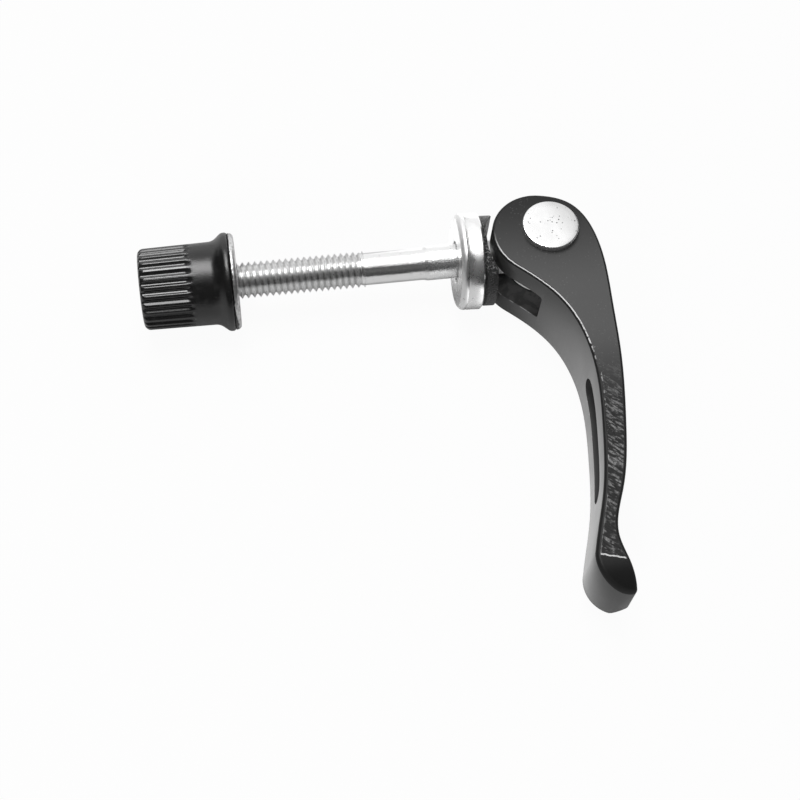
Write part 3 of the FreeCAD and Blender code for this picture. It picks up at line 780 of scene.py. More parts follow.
def new_piece(name, mesh):
    """A mesh as an object of the scene."""
    piece = bpy.data.objects.new(name, mesh)
    bpy.context.scene.collection.objects.link(piece)
    return piece


def piece_of(shape, name):
    """A new piece made of a bmesh, which is used up."""
    mesh = bpy.data.meshes.new(name)
    shape.to_mesh(mesh)
    shape.free()
    return new_piece(name, mesh)


def turned(name, outline, segments, axis):
    """A piece turned from an outline of (place along the axis, radius) points.

    An outline that starts and ends on the axis is closed by two poles. Any other is a ring.
    """
    shape = bmesh.new()
    rings = []
    for place, radius in outline:
        count = segments if radius > 0 else 1
        ring = []
        for step in range(count):
            turn = 2 * math.pi * step / segments
            across = (radius * math.cos(turn), radius * math.sin(turn))
            spot = (place, *across) if axis == "X" else (*across, place)
            ring.append(shape.verts.new(spot))
        rings.append(ring)
    pairs = list(zip(rings, rings[1:]))
    if len(rings[0]) > 1:
        pairs.append((rings[-1], rings[0]))
    for first, second in pairs:
        for step in range(segments):
            following = step + 1
            corners = (
                first[step % len(first)],
                first[following % len(first)],
                second[following % len(second)],
                second[step % len(second)],
            )
            shape.faces.new(tuple(dict.fromkeys(corners)))
    bmesh.ops.recalc_face_normals(shape, faces=shape.faces)
    return piece_of(shape, name)


def settle(piece):
    """Turn a piece's modifiers into its plain mesh."""
    evaluated = piece.evaluated_get(bpy.context.evaluated_depsgraph_get())
    mesh = bpy.data.meshes.new_from_object(evaluated)
    piece.modifiers.clear()
    piece.data = mesh


def smooth_faces(piece, sharp_degrees):
    """Shade a piece smooth, except across edges sharper than an angle."""
    mesh = piece.data
    mesh.shade_smooth()
    mesh.set_sharp_from_angle(angle=math.radians(sharp_degrees))


def hand_over(piece, body, node):
    """Put a piece in the place of a solid, on its body, and hide the solid."""
    if not piece.data.polygons:
        raise RuntimeError(f"{piece.name} has no faces")
    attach(piece, body)
    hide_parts(node)


class RuleTree(Graph):
    """A Geometry Nodes tree that moves a turned blank's points by a rule and dresses it."""

    SMALLEST_RADIUS = 0.001 * MM

    def __init__(self, name):
        super().__init__(bpy.data.node_groups.new(name, "GeometryNodeTree"))
        self.interface = self.tree.interface
        self.interface.new_socket("Geometry", in_out="INPUT", socket_type="NodeSocketGeometry")
        self.interface.new_socket("Geometry", in_out="OUTPUT", socket_type="NodeSocketGeometry")
        self.start = self.node("NodeGroupInput")
        self.x, self.y, self.z = self.axes(self.node("GeometryNodeInputPosition"))
        self.radius = self.math("SQRT", self.y * self.y + self.z * self.z)
        self.turn = self.math("ARCTAN2", self.z, self.y) / (2 * math.pi)

    def input(self, name, kind="NodeSocketFloat"):
        """A named input of the tree."""
        self.interface.new_socket(name, in_out="INPUT", socket_type=kind)
        return self.start.out(name)

    def to_radius(self, radius):
        """End the tree: each point goes to a new distance from the axis."""
        stretch = radius / self.larger(self.radius, self.SMALLEST_RADIUS)
        sockets = {"X": self.x, "Y": self.y * stretch, "Z": self.z * stretch}
        place = self.node("ShaderNodeCombineXYZ", {}, sockets)
        sockets = {"Geometry": self.start, "Position": place}
        moved = self.node("GeometryNodeSetPosition", {}, sockets)
        material = self.input("Material", "NodeSocketMaterial")
        real = self.node("GeometryNodeRealizeInstances", {}, {"Geometry": moved})
        dressed = self.node("GeometryNodeSetMaterial", {}, {"Geometry": real, "Material": material})
        self.node("NodeGroupOutput", {}, {"Geometry": dressed})
        return self.tree


def follow_rule(piece, tree, values):
    """Run a rule tree over a piece, with its inputs given by name, and keep the plain mesh."""
    modifier = piece.modifiers.new(tree.name, "NODES")
    modifier.node_group = tree
    for item in tree.interface.items_tree:
        if item.in_out == "INPUT" and item.name in values:
            modifier[item.identifier] = values[item.name]
    piece.data.update()
    settle(piece)


def thread_rule():
    """Right-hand thread: sharp crests, round roots, rising to full depth over its run-in."""
    tree = RuleTree("Rolled thread")
    pitch = tree.input("Pitch")
    depth = tree.input("Depth")
    start = tree.input("Start")
    run_in = tree.input("Run In")
    blank = tree.input("Blank Radius")
    crest = tree.input("Crest Radius")
    phase = tree.input("Phase")
    away = tree.math("PINGPONG", tree.x / pitch - tree.turn - phase, 0.5) * 2
    root = tree.math("SMOOTH_MIN", away, 0.88, 0.18)
    fade = tree.ease((start - tree.x) / run_in, 0.0, 1.0)
    threaded = crest - depth * root
    inside = tree.smaller(tree.radius, blank + (threaded - blank) * fade)
    on_thread = tree.math("GREATER_THAN", start, tree.x)
    outside = tree.math("GREATER_THAN", tree.radius, crest - depth)
    carve = on_thread * outside
    return tree.to_radius(tree.radius + (inside - tree.radius) * carve)


def flute_rule():
    """Straight round-floored flutes with a short sloping run-out, and a wavy rim."""
    tree = RuleTree("Finger flutes")
    flutes = tree.input("Count")
    depth = tree.input("Depth")
    mouth_share = tree.input("Mouth Share")
    end = tree.input("End")
    run_out = tree.input("Run Out")
    outer_end = tree.input("Outer End")
    end_radius = tree.input("End Radius")
    widening = tree.input("Widening")
    away = tree.math("PINGPONG", tree.turn * flutes, 0.5) * 2
    across = tree.smaller(away / mouth_share, 1.0)
    left = tree.smaller(tree.larger((end + run_out - tree.x) / run_out, 0.0), 1.0)
    land = end_radius + (tree.x - outer_end) * widening
    fluted = land - depth * left * (1 - across * across)
    inside = tree.smaller(tree.radius, fluted)
    carve = tree.math("LESS_THAN", tree.x, end + run_out)
    waves = tree.input("Waves")
    wave_depth = tree.input("Wave Depth")
    wave_start = tree.input("Wave Start")
    wave_radius = tree.input("Wave Radius")
    wave = tree.math("COSINE", tree.turn * waves * (2 * math.pi)) * 0.5 + 0.5
    at_front = tree.math("GREATER_THAN", tree.x, wave_start)
    on_rim = at_front * tree.math("GREATER_THAN", tree.radius, wave_radius)
    return tree.to_radius(tree.radius + (inside - tree.radius) * carve - wave * wave_depth * on_rim)


class SKEWER_OT_bolt(bpy.types.Operator):
    """Zinc plated eye bolt with its rolled thread"""

    bl_idname = "skewer.bolt"
    bl_label = "Eye bolt"

    SEGMENTS = 72
    EYE_SEGMENTS = 96
    RINGS_A_PITCH = 14
    HIDDEN_END = 1.0 * MM
    HIDDEN_BEVEL = 0.3 * MM

    def execute(self, context):
        sizes = context.scene.skewer.bolt
        thread_start = WASHER_FRONT - sizes.thread_start
        shank_end = WASHER_FRONT - sizes.shank_reach
        eye_wall = (sizes.eye_radius + sizes.eye_bore) / 2
        inside_eye = PIVOT.x - eye_wall
        end_radius = sizes.thread_radius - sizes.thread_chamfer
        corners = (
            (BOLT_END, 0.0, 0),
            (BOLT_END, end_radius, sizes.end_rounding),
            (BOLT_END + sizes.thread_chamfer, sizes.thread_radius, 0),
            (thread_start, sizes.thread_radius, 0),
            (thread_start, sizes.blank_radius, 0),
            (shank_end - sizes.shank_step, sizes.blank_radius, sizes.shank_rounding),
            (shank_end, sizes.shank_radius, sizes.shank_rounding),
            (inside_eye - self.HIDDEN_END, sizes.shank_radius, 0),
            (inside_eye, sizes.shank_radius - self.HIDDEN_BEVEL, 0),
            (inside_eye, 0.0, 0),
        )
        outline = divided(softened(corners), sizes.thread_pitch / self.RINGS_A_PITCH)
        bolt = turned("bolt", outline, self.SEGMENTS, "X")
        values = {
            "Pitch": sizes.thread_pitch,
            "Depth": sizes.thread_depth,
            "Start": thread_start,
            "Run In": sizes.run_in,
            "Blank Radius": sizes.blank_radius,
            "Crest Radius": sizes.thread_radius,
            "Phase": sizes.thread_phase,
            "Material": zinc_plate(sizes.plate_colour, thread_start),
        }
        follow_rule(bolt, thread_rule(), values)
        half = sizes.eye_thickness / 2
        corners = (
            (-half, sizes.eye_bore, sizes.bore_rounding),
            (-half, sizes.eye_radius, sizes.eye_rounding),
            (half, sizes.eye_radius, sizes.eye_rounding),
            (half, sizes.eye_bore, sizes.bore_rounding),
        )
        eye = turned("bolt_eye", softened(corners), self.EYE_SEGMENTS, "Z")
        eye.data.transform(Matrix.Translation(PIVOT))
        eye.data.materials.append(bolt.data.materials[0])
        union = bolt.modifiers.new("Eye", "BOOLEAN")
        union.operation = "UNION"
        union.object = eye
        settle(bolt)
        bpy.data.objects.remove(eye)
        smooth_faces(bolt, sharp_degrees=50)
        hand_over(bolt, "bolt", "eye_bolt")
        return {"FINISHED"}


class SKEWER_OT_pin(bpy.types.Operator):
    """Flat headed pivot pin"""

    bl_idname = "skewer.pin"
    bl_label = "Pivot pin"

    SEGMENTS = 96
    RING_SPACING = 1.0 * MM

    def execute(self, context):
        sizes = context.scene.skewer.pin
        top = PIN_HIGH.z
        under = top - sizes.head_height
        upper = (
            (under, sizes.shank_radius, 0),
            (under, sizes.head_radius, sizes.under_rounding),
            (top, sizes.head_radius, sizes.head_rounding),
            (top, 0.0, 0),
        )
        lower = tuple((-height, radius, rounding) for height, radius, rounding in reversed(upper))
        outline = divided(softened(lower + upper), self.RING_SPACING)
        pin = turned("pin", outline, self.SEGMENTS, "Z")
        pin.data.transform(Matrix.Translation((PIVOT.x, PIVOT.y, 0.0)))
        pin.data.materials.append(pin_steel(sizes.steel_colour))
        smooth_faces(pin, sharp_degrees=40)
        hand_over(pin, "lever", "pivot_pin")
        return {"FINISHED"}


def joined_solid(node):
    """A solid's mesh with its loose triangles joined and its flat faces made whole."""
    shape = bmesh.new()
    shape.from_mesh(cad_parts[node].data)
    flat = math.radians(0.3)
    bmesh.ops.remove_doubles(shape, verts=shape.verts, dist=MERGE_DISTANCE)
    bmesh.ops.dissolve_limit(shape, angle_limit=flat, verts=shape.verts, edges=shape.edges)
    return shape


def round_edges(piece, radius):
    """Round every sharp edge of a piece."""
    piece.data.shade_smooth()
    bevel = piece.modifiers.new("Edges", "BEVEL")
    bevel.width = radius
    bevel.segments = 3
    bevel.limit_method = "ANGLE"
    bevel.angle_limit = math.radians(26)
    bevel.use_clamp_overlap = False
    bevel.harden_normals = True
    settle(piece)


def upper_outline(node, hole_radius):
    """Points round a solid's upper edge, seen from above, without the edge of its pin hole."""
    most_tilt, least_level, hole_margin = 0.28, 0.3, 0.5 * MM
    shape = joined_solid(node)
    neighbours = {}
    for edge in shape.edges:
        faces = sorted(edge.link_faces, key=lambda face: abs(face.normal.z))
        spot = edge.verts[0].co
        upright = abs(faces[0].normal.z) < most_tilt
        level = faces[-1].normal.z >= least_level
        in_hole = (spot.xy - PIVOT.xy).length < hole_radius + hole_margin
        if not upright or not level or spot.z < 0 or in_hole:
            continue
        for first, second in (edge.verts, reversed(edge.verts)):
            neighbours.setdefault(first, []).append(second)
    loop = [next(iter(neighbours))]
    loop.append(neighbours[loop[0]][0])
    while loop[-1] is not loop[0]:
        loop.append(next(vertex for vertex in neighbours[loop[-1]] if vertex is not loop[-2]))
    points = [vertex.co.xy for vertex in loop[:-1]]
    shape.free()
    area = sum(first.cross(second) for first, second in zip(points, points[1:] + points[:1]))
    return points if area > 0 else points[::-1]


def prism(name, points, half):
    """A bar along the bolt's direction with an outline of (y, z) points."""
    shape = bmesh.new()
    columns = (PIVOT.x - half, PIVOT.x + half)
    ends = [[shape.verts.new((column, *point)) for point in points] for column in columns]
    shape.faces.new(ends[0])
    shape.faces.new(ends[1])
    count = len(points)
    for step in range(count):
        following = (step + 1) % count
        shape.faces.new((ends[0][step], ends[0][following], ends[1][following], ends[1][step]))
    bmesh.ops.recalc_face_normals(shape, faces=shape.faces)
    return piece_of(shape, name)


def cut_out(piece, cutter):
    """Take a cutter's shape out of a piece, and remove the cutter."""
    difference = piece.modifiers.new("Cut", "BOOLEAN")
    difference.operation = "DIFFERENCE"
    difference.object = cutter
    settle(piece)
    bpy.data.objects.remove(cutter)


class SKEWER_OT_lever(bpy.types.Operator):
    """Black painted cam lever"""

    bl_idname = "skewer.lever"
    bl_label = "Cam lever"

    PAINTS = (wall_paint, side_paint, tip_paint, edge_paint)
    WALL, SIDE, TIP, EDGE = range(4)
    FLAT = 10 * MM
    EDGE_STEPS = 4
    END_MARGIN = 0.5 * MM
    PAD_STRIP_SHARE = 0.4
    ON_CUT = 0.005 * MM
    ON_SURFACE = 0.001 * MM
    CUTTER_REACH = 20 * MM
    HOLE_SEGMENTS = 64
    WINDOW_STEPS = 10
    WINDOW_ROUNDING_SHARE = 0.99

    def execute(self, context):
        sizes = context.scene.skewer.lever
        shape = self.round_blank(upper_outline("cam_lever", sizes.hole_radius), sizes)
        stations = self.split_sides(shape, sizes)
        self.dress_faces(shape, sizes)
        for vertex in shape.verts:
            drop = self.FLAT - abs(vertex.co.z)
            if vertex.co.z > 0:
                vertex.co.z = self.upper(vertex.co.y, sizes) - drop
            else:
                vertex.co.z = self.lower(vertex.co, sizes) + drop
        lever = piece_of(shape, "lever")
        for paint in self.PAINTS:
            lever.data.materials.append(paint(sizes))
        for cutter in self.cutters(sizes):
            cut_out(lever, cutter)
        self.measure_sides(lever.data, stations)
        smooth_faces(lever, sharp_degrees=30)
        self.ease_sides(lever.data, sizes)
        hand_over(lever, "lever", "cam_lever")
        return {"FINISHED"}

    def upper(self, row, sizes):
        """Height of the upper side at a place along the arm."""
        reach = PIVOT.y - row
        past = reach - sizes.round_start
        if past > 0:
            return math.sqrt(max(0.0, sizes.paddle_half**2 - past**2))
        return sizes.head_half - self.taper(sizes) * max(0.0, reach - sizes.taper_start)

    def taper(self, sizes):
        """How fast either cut side closes along the arm."""
        return (sizes.head_half - sizes.paddle_half) / (sizes.round_start - sizes.taper_start)

    def lower(self, spot, sizes):
        """Height of the under side, with the bevel of the thumb end, above a point."""
        reach = PIVOT.y - spot.y
        closing = min(reach, sizes.round_start) - sizes.taper_start
        plain = self.taper(sizes) * max(0.0, closing) - sizes.head_half
        apex = PIVOT + Vector(sizes.bevel_apex)
        inner = Vector(sizes.bevel_inner) - Vector(sizes.bevel_apex)
        outer = Vector(sizes.bevel_outer) - Vector(sizes.bevel_apex)
        normal = inner.cross(outer)
        bevel = apex.z - ((spot.x - apex.x) * normal.x + (spot.y - apex.y) * normal.y) / normal.z
        return max(plain, bevel) if reach > -sizes.bevel_apex[1] else plain

    def round_blank(self, outline, sizes):
        """A flat blank with the lever's outline and round upper and lower edges."""
        count = len(outline)
        outward = []
        for index, point in enumerate(outline):
            before = (point - outline[index - 1]).normalized()
            after = (outline[(index + 1) % count] - point).normalized()
            along = (before + after).normalized()
            outward.append(Vector((along.y, -along.x)) / along.dot(after))
        shape = bmesh.new()
        levels = [(1, step) for step in range(self.EDGE_STEPS, -1, -1)]
        levels += [(-1, step) for step in range(self.EDGE_STEPS + 1)]
        rings = []
        for side, step in levels:
            turn = math.pi / 2 * step / self.EDGE_STEPS
            ring = []
            for point, out in zip(outline, outward):
                near_neck = clamped((PIVOT.y - point.y - sizes.neck_start) / sizes.neck_rise)
                radius = sizes.edge_radius + sizes.neck_edge * near_neck * max(0.0, -out.x)
                spot = point - out * radius * (1 - math.cos(turn))
                height = self.FLAT - radius * (1 - math.sin(turn))
                ring.append(shape.verts.new((spot.x, spot.y, side * height)))
            rings.append(ring)
        for first, second in zip(rings, rings[1:]):
            for step in range(count):
                following = (step + 1) % count
                shape.faces.new((first[step], second[step], second[following], first[following]))
        shape.faces.new(rings[0])
        shape.faces.new(rings[-1][::-1])
        shape.normal_update()
        return shape

    def split_sides(self, shape, sizes):
        """Cut the blank into strips, and at the ridge.

        Returns the (place, inner edge, outer edge) of each strip's border.
        """
        rows = []
        row = max(vertex.co.y for vertex in shape.verts) - sizes.strip
        end = min(vertex.co.y for vertex in shape.verts)
        while row > end + self.END_MARGIN:
            rows.append(row)
            on_arm = PIVOT.y - row < sizes.ridge_reach
            row -= sizes.strip if on_arm else self.PAD_STRIP_SHARE * sizes.strip
        for row in rows:
            self.cut(shape, (0, row, 0), (0, 1, 0))
        spot = (PIVOT.x - sizes.ridge_side, PIVOT.y - sizes.ridge_reach, 0)
        self.cut(shape, spot, (math.tan(sizes.ridge_slant), 1, 0))
        shape.normal_update()
        stations = []
        for row in reversed(rows):
            spots = [vertex.co for vertex in shape.verts]
            columns = [spot.x for spot in spots if abs(spot.y - row) < self.ON_CUT]
            stations.append((row, min(columns), max(columns)))
        return stations

    def cut(self, shape, spot, normal):
        """Split the faces of a shape along a plane."""
        everything = shape.verts[:] + shape.edges[:] + shape.faces[:]
        bmesh.ops.bisect_plane(
            shape, geom=everything, dist=MERGE_DISTANCE, plane_co=spot, plane_no=normal
        )

    def dress_faces(self, shape, sizes):
        """Side paint on the flat sides, tip paint past the ridge, edge paint on round edges.

        Every other face keeps the first paint, of the walls.
        """
        least_flat, most_wall = 0.999, 0.02
        for face in shape.faces:
            middle = face.calc_center_median()
            slope = (middle.x - PIVOT.x + sizes.ridge_side) * math.tan(sizes.ridge_slant)
            past_ridge = PIVOT.y - middle.y - slope > sizes.ridge_reach
            if abs(face.normal.z) > least_flat:
                face.material_index = self.TIP if past_ridge else self.SIDE
            elif abs(face.normal.z) > most_wall:
                face.material_index = self.EDGE

    def cutters(self, sizes):
        """Pin hole, slot for the eye and long window."""
        far = self.CUTTER_REACH
        bore = ((-far, 0), (-far, sizes.hole_radius), (far, sizes.hole_radius), (far, 0))
        hole = turned("hole", bore, self.HOLE_SEGMENTS, "Z")
        hole.data.transform(Matrix.Translation(PIVOT))
        floor = PIVOT.y - sizes.slot_reach
        slot = (
            (floor, -sizes.slot_half, sizes.slot_corner),
            (far, -sizes.slot_half, 0),
            (far, sizes.slot_half, 0),
            (floor, sizes.slot_half, sizes.slot_corner),
        )
        start, end = PIVOT.y - sizes.window_start, PIVOT.y - sizes.window_end
        rounding = self.WINDOW_ROUNDING_SHARE * sizes.window_half
        window = (
            (end, -sizes.window_half, rounding),
            (start, -sizes.window_half, rounding),
            (start, sizes.window_half, rounding),
            (end, sizes.window_half, rounding),
        )
        window = softened(window, self.WINDOW_STEPS)
        return hole, prism("slot", softened(slot), far), prism("window", window, far)

    def measure_sides(self, mesh, stations):
        """Note on each point how far it lies from the inner and the outer edge of the lever."""
        rows, inners, outers = zip(*stations)
        from_inner = mesh.attributes.new(FROM_INNER, "FLOAT", "POINT").data
        for point, vertex in zip(from_inner, mesh.vertices):
            point.value = vertex.co.x - np.interp(vertex.co.y, rows, inners)
        from_outer = mesh.attributes.new(FROM_OUTER, "FLOAT", "POINT").data
        for point, vertex in zip(from_outer, mesh.vertices):
            point.value = np.interp(vertex.co.y, rows, outers) - vertex.co.x

    def ease_sides(self, mesh, sizes):
        """Shade the upper side as one smooth face that turns slowly where it starts to close."""
        least_up, turn_start, turn_length = 0.25, 0.4 * sizes.taper_start, 1.2 * sizes.taper_start
        normals = [corner.vector.copy() for corner in mesh.corner_normals]
        for face in mesh.polygons:
            if face.normal.z < least_up:
                continue
            for index in face.loop_indices:
                spot = mesh.vertices[mesh.loops[index].vertex_index].co
                height = self.upper(spot.y, sizes)
                if abs(spot.z - height) > self.ON_SURFACE:
                    continue
                reach = PIVOT.y - spot.y
                past = reach - sizes.round_start
                if past > 0:
                    slope = past / height
                else:
                    slope = self.taper(sizes) * clamped((reach - turn_start) / turn_length)
                normals[index] = Vector((0, -slope, 1)).normalized()
        mesh.normals_split_custom_set(normals)


class SKEWER_OT_washer(bpy.types.Operator):
    """Turned clamp washer and the black saddle behind it"""

    bl_idname = "skewer.washer"
    bl_label = "Washer and saddle"

    SEGMENTS = 160

    def execute(self, context):
        sizes = context.scene.skewer.washer
        rim = sizes.washer_radius
        line = WASHER_FRONT + sizes.line_place
        corners = (
            (WASHER_FRONT, sizes.bore_radius, sizes.bore_rounding),
            (WASHER_FRONT, rim - sizes.front_chamfer, sizes.front_rounding),
            (WASHER_FRONT + sizes.front_chamfer, rim, sizes.front_rounding),
            (line - sizes.line_half, rim, 0),
            (line, rim - sizes.line_depth, 0),
            (line + sizes.line_half, rim, 0),
            (WASHER_BACK - sizes.back_chamfer, rim, sizes.back_rounding),
            (WASHER_BACK, rim - sizes.back_chamfer, sizes.back_rounding),
            (WASHER_BACK, sizes.bore_radius, sizes.bore_rounding),
        )
        washer = turned("washer", softened(corners), self.SEGMENTS, "X")
        plate_colour = context.scene.skewer.bolt.plate_colour
        washer.data.materials.append(washer_plate(plate_colour, sizes.lean))
        smooth_faces(washer, sharp_degrees=40)
        sag = Matrix.Translation((WASHER_BACK, -sizes.sag_front, -sizes.sag_down))
        to_origin = Matrix.Translation((-WASHER_BACK, 0, 0))
        lean = sag @ Matrix.Rotation(sizes.lean, 4, "Z") @ to_origin
        washer.data.transform(lean)
        hand_over(washer, "washer", "clamp_washer")
        saddle = piece_of(joined_solid("cam_saddle"), "saddle")
        saddle.data.materials.append(saddle_plastic(sizes.saddle_colour))
        round_edges(saddle, sizes.saddle_edge)
        saddle.data.transform(lean)
        hand_over(saddle, "washer", "cam_saddle")
        return {"FINISHED"}


class SKEWER_OT_nut(bpy.types.Operator):
    """Fluted thumb nut and its metal insert"""

    bl_idname = "skewer.nut"
    bl_label = "Thumb nut"

    SEGMENTS_A_FLUTE = 16
    GRIP_SPACING = 0.4 * MM
    FACE_SEGMENTS = 192
    FACE_SPACING = 1.0 * MM

    def execute(self, context):
        sizes = context.scene.skewer.nut
        self.make_grip(sizes)
        self.make_insert(sizes)
        return {"FINISHED"}

    def make_grip(self, sizes):
        """The black body: barrel, flutes, flare and rim."""
        rim_back = NUT_FRONT - sizes.rim_width
        flare_end = rim_back - sizes.flare_length
        hub_end = NUT_FRONT - sizes.hub_length
        corners = (
            (NUT_END, sizes.end_bore, sizes.bore_rounding),
            (NUT_END, sizes.end_radius, sizes.end_rounding),
            (flare_end, sizes.neck_radius, sizes.neck_rounding),
            (rim_back, sizes.rim_radius, sizes.flare_rounding),
            (NUT_FRONT, sizes.rim_radius, sizes.rim_rounding),
            (NUT_FRONT, sizes.hub_radius, 0),
            (hub_end, sizes.hub_radius, 0),
            (hub_end, sizes.end_bore, 0),
        )
        outline = divided(softened(corners, steps=6), self.GRIP_SPACING)
        grip = turned("nut_grip", outline, sizes.flute_count * self.SEGMENTS_A_FLUTE, "X")
        values = {
            "Count": float(sizes.flute_count),
            "Depth": sizes.flute_depth,
            "Mouth Share": sizes.flute_mouth,
            "End": NUT_END + sizes.flute_length - sizes.flute_run_out,
            "Run Out": sizes.flute_run_out,
            "Outer End": NUT_END,
            "End Radius": sizes.end_radius,
            "Widening": (sizes.neck_radius - sizes.end_radius) / (flare_end - NUT_END),
            "Waves": float(sizes.rim_waves),
            "Wave Depth": sizes.wave_depth,
            "Wave Start": NUT_FRONT - sizes.wave_length,
            "Wave Radius": sizes.rim_radius - sizes.wave_band,
            "Material": nut_black(sizes.nut_colour),
        }
        follow_rule(grip, flute_rule(), values)
        smooth_faces(grip, sharp_degrees=45)
        hand_over(grip, "nut", "thumb_nut")

    def make_insert(self, sizes):
        """The metal insert: face, hub and bore."""
        hub_end = NUT_FRONT - sizes.hub_length
        corners = (
            (NUT_FACE, sizes.thread_radius + sizes.thread_bevel, 0),
            (NUT_FACE, sizes.face_radius, sizes.face_rounding),
            (NUT_FRONT, sizes.face_radius, 0),
            (NUT_FRONT, sizes.hub_radius, 0),
            (hub_end, sizes.hub_radius, sizes.hub_rounding),
            (hub_end, sizes.thread_radius, 0),
            (NUT_FACE - sizes.thread_bevel, sizes.thread_radius, 0),
        )
        outline = divided(softened(corners), self.FACE_SPACING)
        insert = turned("nut_insert_face", outline, self.FACE_SEGMENTS, "X")
        insert.data.materials.append(face_metal(sizes.face_colour))
        smooth_faces(insert, sharp_degrees=45)
        hand_over(insert, "nut", "nut_insert")


class SKEWER_OT_stage(bpy.types.Operator):
    """White floor, soft light and the camera at the photograph's angle"""

    bl_idname = "skewer.stage"
    bl_label = "Stage"

    FLAG_POSTS = 25
    NEAR_CLIP = 10 * MM
    # Soft borders of the bright floor, along the bolt (x) and across it (y).
    ARM_POOL_X = (0.0, 8 * MM)
    ARM_POOL_TIP_Y = (-66 * MM, -52 * MM)
    ARM_POOL_DIM_Y = (-42 * MM, -26 * MM)
    ARM_POOL_NECK_Y = (-14 * MM, -6 * MM)
    BACK_POOL_X = (-12 * MM, -2 * MM)
    BACK_POOL_Y = (0.0, 10 * MM)

    def execute(self, context):
        settings = context.scene.skewer.stage
        self.make_floor(settings)
        self.make_sky(context.scene, settings)
        self.make_lights(context.scene, settings)
        self.make_camera(context.scene, settings)
        context.scene.view_settings.view_transform = "Standard"
        return {"FINISHED"}

    def make_floor(self, settings):
        """White to the camera, and greyer cloth with bright pools to what mirrors it."""
        half = settings.floor_half
        mesh = bpy.data.meshes.new("floor")
        corners = [(-half, -half, FLOOR_HEIGHT), (half, -half, FLOOR_HEIGHT)]
        corners += [(half, half, FLOOR_HEIGHT), (-half, half, FLOOR_HEIGHT)]
        mesh.from_pydata(corners, [], [(0, 1, 2, 3)])
        floor = new_piece("floor", mesh)
        material = bpy.data.materials.new("white_floor")
        graph = bare_graph(material)
        cloth = graph.node("ShaderNodeBsdfDiffuse", {}, {"Color": grey(settings.floor_level)})
        glow = graph.node("ShaderNodeEmission", {}, {"Color": grey(1.0), "Strength": 1.0})
        path = graph.node("ShaderNodeLightPath", output="Is Camera Ray")
        seen = graph.larger(path, path.out("Is Transmission Ray")) * settings.floor_white
        shader = graph.node("ShaderNodeMixShader", {}, {0: seen, 1: cloth, 2: glow})
        lit = self.floor_pools(graph) * path.out("Is Glossy Ray")
        light = graph.mix(lit, grey(0.0), grey(1.0))
        sockets = {"Color": light, "Strength": settings.floor_pool}
        pools = graph.node("ShaderNodeEmission", {}, sockets)
        shader = graph.node("ShaderNodeAddShader", {}, {0: shader, 1: pools})
        graph.node("ShaderNodeOutputMaterial", {}, {"Surface": shader})
        mesh.materials.append(material)

    def floor_pools(self, graph):
        """How bright the floor is beside the lever's arm and behind the washer, 0 to 1."""
        place = graph.node("ShaderNodeTexCoord", output="Object")
        x, y, _ = graph.axes(place)
        by_arm = graph.ease(x, *self.ARM_POOL_X) * graph.ease(y, *self.ARM_POOL_TIP_Y)
        at_neck = graph.ease(y, *self.ARM_POOL_NECK_Y)
        dimmer = graph.ease(y, *self.ARM_POOL_DIM_Y)
        by_arm = by_arm * (0.95 - at_neck * 0.65 - dimmer * 0.3)
        behind = graph.ease(x, *self.BACK_POOL_X) * graph.ease(y, *self.BACK_POOL_Y)
        return by_arm + behind * 0.55

    def make_sky(self, scene, settings):
        """Plain white to the camera and to polish, and dimmer as a light."""
        scene.world = bpy.data.worlds.new("plain_sky")
        graph = bare_graph(scene.world)
        path = graph.node("ShaderNodeLightPath", output="Is Camera Ray")
        seen = graph.larger(path, path.out("Is Glossy Ray"))
        seen = graph.larger(seen, path.out("Is Transmission Ray"))
        level = graph.mix(seen, grey(settings.sky_level), grey(1.0))
        sky = graph.node("ShaderNodeBackground", {}, {"Color": level, "Strength": 1.0})
        graph.node("ShaderNodeOutputWorld", {}, {"Surface": sky})

    def make_lights(self, scene, settings):
        """A softbox above, a small lamp at the front left and the dark cloth."""
        spot = (-settings.lamp_left, settings.lamp_back, settings.lamp_height)
        box = self.make_lamp(scene, "softbox", settings.lamp_power, spot)
        box.data.shape = "RECTANGLE"
        box.data.size = settings.lamp_width
        box.data.size_y = settings.lamp_depth
        fill = self.make_lamp(scene, "fill", settings.fill_power, settings.fill_spot)
        fill.data.size = settings.fill_size
        fill.rotation_euler = Vector(settings.fill_spot).to_track_quat("Z", "Y").to_euler()
        fill.visible_glossy = False
        self.make_flag(settings)

    def make_lamp(self, scene, name, power, spot):
        """An area lamp that shines down, until it is turned."""
        lamp = bpy.data.lights.new(name, "AREA")
        lamp.energy = power
        holder = bpy.data.objects.new(name, lamp)
        holder.location = spot
        scene.collection.objects.link(holder)
        return holder

    def make_flag(self, settings):
        """Dark cloth round the front and the sides, seen as the dark band on bright metal."""
        mesh = bpy.data.meshes.new("flag")
        posts = self.FLAG_POSTS
        corners = []
        for post in range(posts):
            turn = -math.pi / 2 + settings.flag_spread * (post / (posts - 1) - 0.5)
            across = (settings.flag_radius * math.cos(turn), settings.flag_radius * math.sin(turn))
            corners += [(*across, FLOOR_HEIGHT), (*across, settings.flag_height)]
        starts = range(0, 2 * (posts - 1), 2)
        panels = [(start, start + 2, start + 3, start + 1) for start in starts]
        mesh.from_pydata(corners, [], panels)
        flag = new_piece("flag", mesh)
        material = bpy.data.materials.new("flag_cloth")
        material.use_nodes = True
        shader = material.node_tree.nodes["Principled BSDF"]
        shader.inputs["Base Color"].default_value = settings.flag_colour
        mesh.materials.append(material)
        flag.visible_camera = False
        flag.visible_diffuse = False
        flag.visible_shadow = False

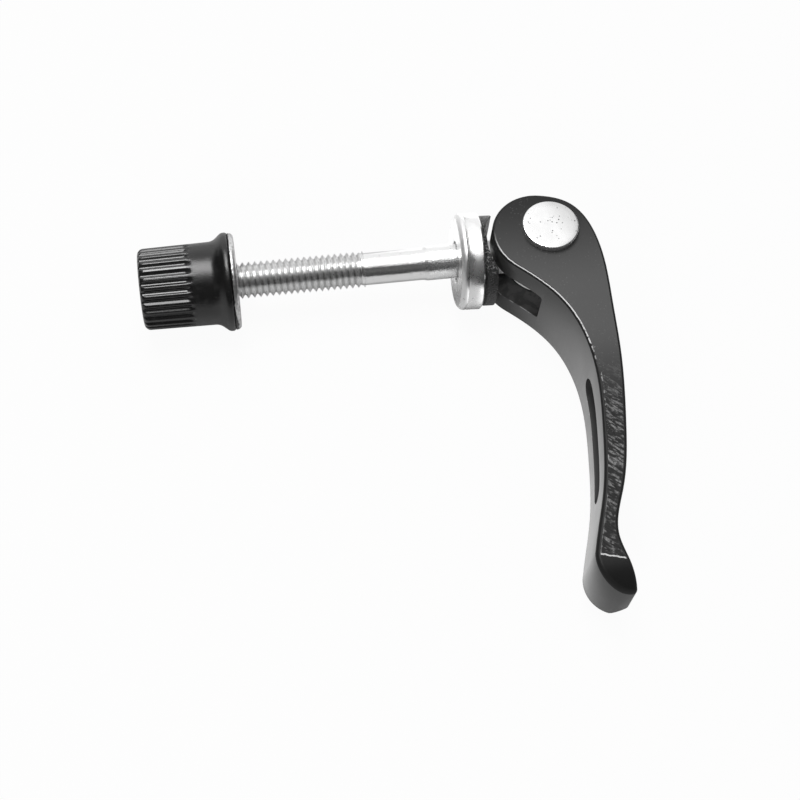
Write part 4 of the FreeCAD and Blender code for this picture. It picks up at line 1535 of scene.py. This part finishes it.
    def make_camera(self, scene, settings):
        """The photograph's camera, placed by where the pin's centre is seen."""
        elevation, azimuth = settings.elevation, settings.azimuth
        back = Vector(
            (
                math.sin(azimuth) * math.cos(elevation),
                -math.cos(azimuth) * math.cos(elevation),
                math.sin(elevation),
            )
        )
        level_right = Vector((0, 0, 1)).cross(back).normalized()
        level_up = back.cross(level_right)
        right = math.cos(settings.roll) * level_right + math.sin(settings.roll) * level_up
        up = -math.sin(settings.roll) * level_right + math.cos(settings.roll) * level_up
        pixel = settings.depth / settings.focal_pixels
        middle = PHOTO_SIZE / 2
        across = (settings.pin_column - middle) * pixel
        above = (middle - settings.pin_row) * pixel
        spot = PIVOT - right * across - up * above + back * settings.depth
        camera = bpy.data.cameras.new("camera")
        camera.sensor_width = SENSOR_WIDTH
        camera.lens = settings.focal_pixels / PHOTO_SIZE * SENSOR_WIDTH
        camera.clip_start = self.NEAR_CLIP
        body = bpy.data.objects.new("camera", camera)
        turn = Matrix((right, up, back)).transposed().to_4x4()
        body.matrix_world = Matrix.Translation(spot) @ turn
        scene.collection.objects.link(body)
        scene.camera = body


MAKERS = (
    SKEWER_OT_bolt,
    SKEWER_OT_pin,
    SKEWER_OT_lever,
    SKEWER_OT_washer,
    SKEWER_OT_nut,
    SKEWER_OT_stage,
)


class SKEWER_PT_panel(bpy.types.Panel):
    """Makers of the skewer's pieces"""

    bl_label = "Seatpost skewer"
    bl_space_type = "VIEW_3D"
    bl_region_type = "UI"
    bl_category = "Skewer"

    def draw(self, context):
        for maker in MAKERS:
            self.layout.operator(maker.bl_idname)


SETTINGS = (BoltSettings, PinSettings, LeverSettings, WasherSettings, NutSettings, StageSettings)
CLASSES = SETTINGS + (SkewerSettings,) + MAKERS + (SKEWER_PT_panel,)


def register():
    """Make the classes and the scene's settings known to Blender."""
    for item in CLASSES:
        bpy.utils.register_class(item)
    bpy.types.Scene.skewer = bpy.props.PointerProperty(type=SkewerSettings)


def unregister():
    """Take back what register() made known."""
    del bpy.types.Scene.skewer
    for item in reversed(CLASSES):
        bpy.utils.unregister_class(item)


def main():
    """Make every piece and the stage."""
    register()
    bpy.ops.skewer.bolt()
    bpy.ops.skewer.pin()
    bpy.ops.skewer.lever()
    bpy.ops.skewer.washer()
    bpy.ops.skewer.nut()
    bpy.ops.skewer.stage()


if __name__ == "__main__":
    main()
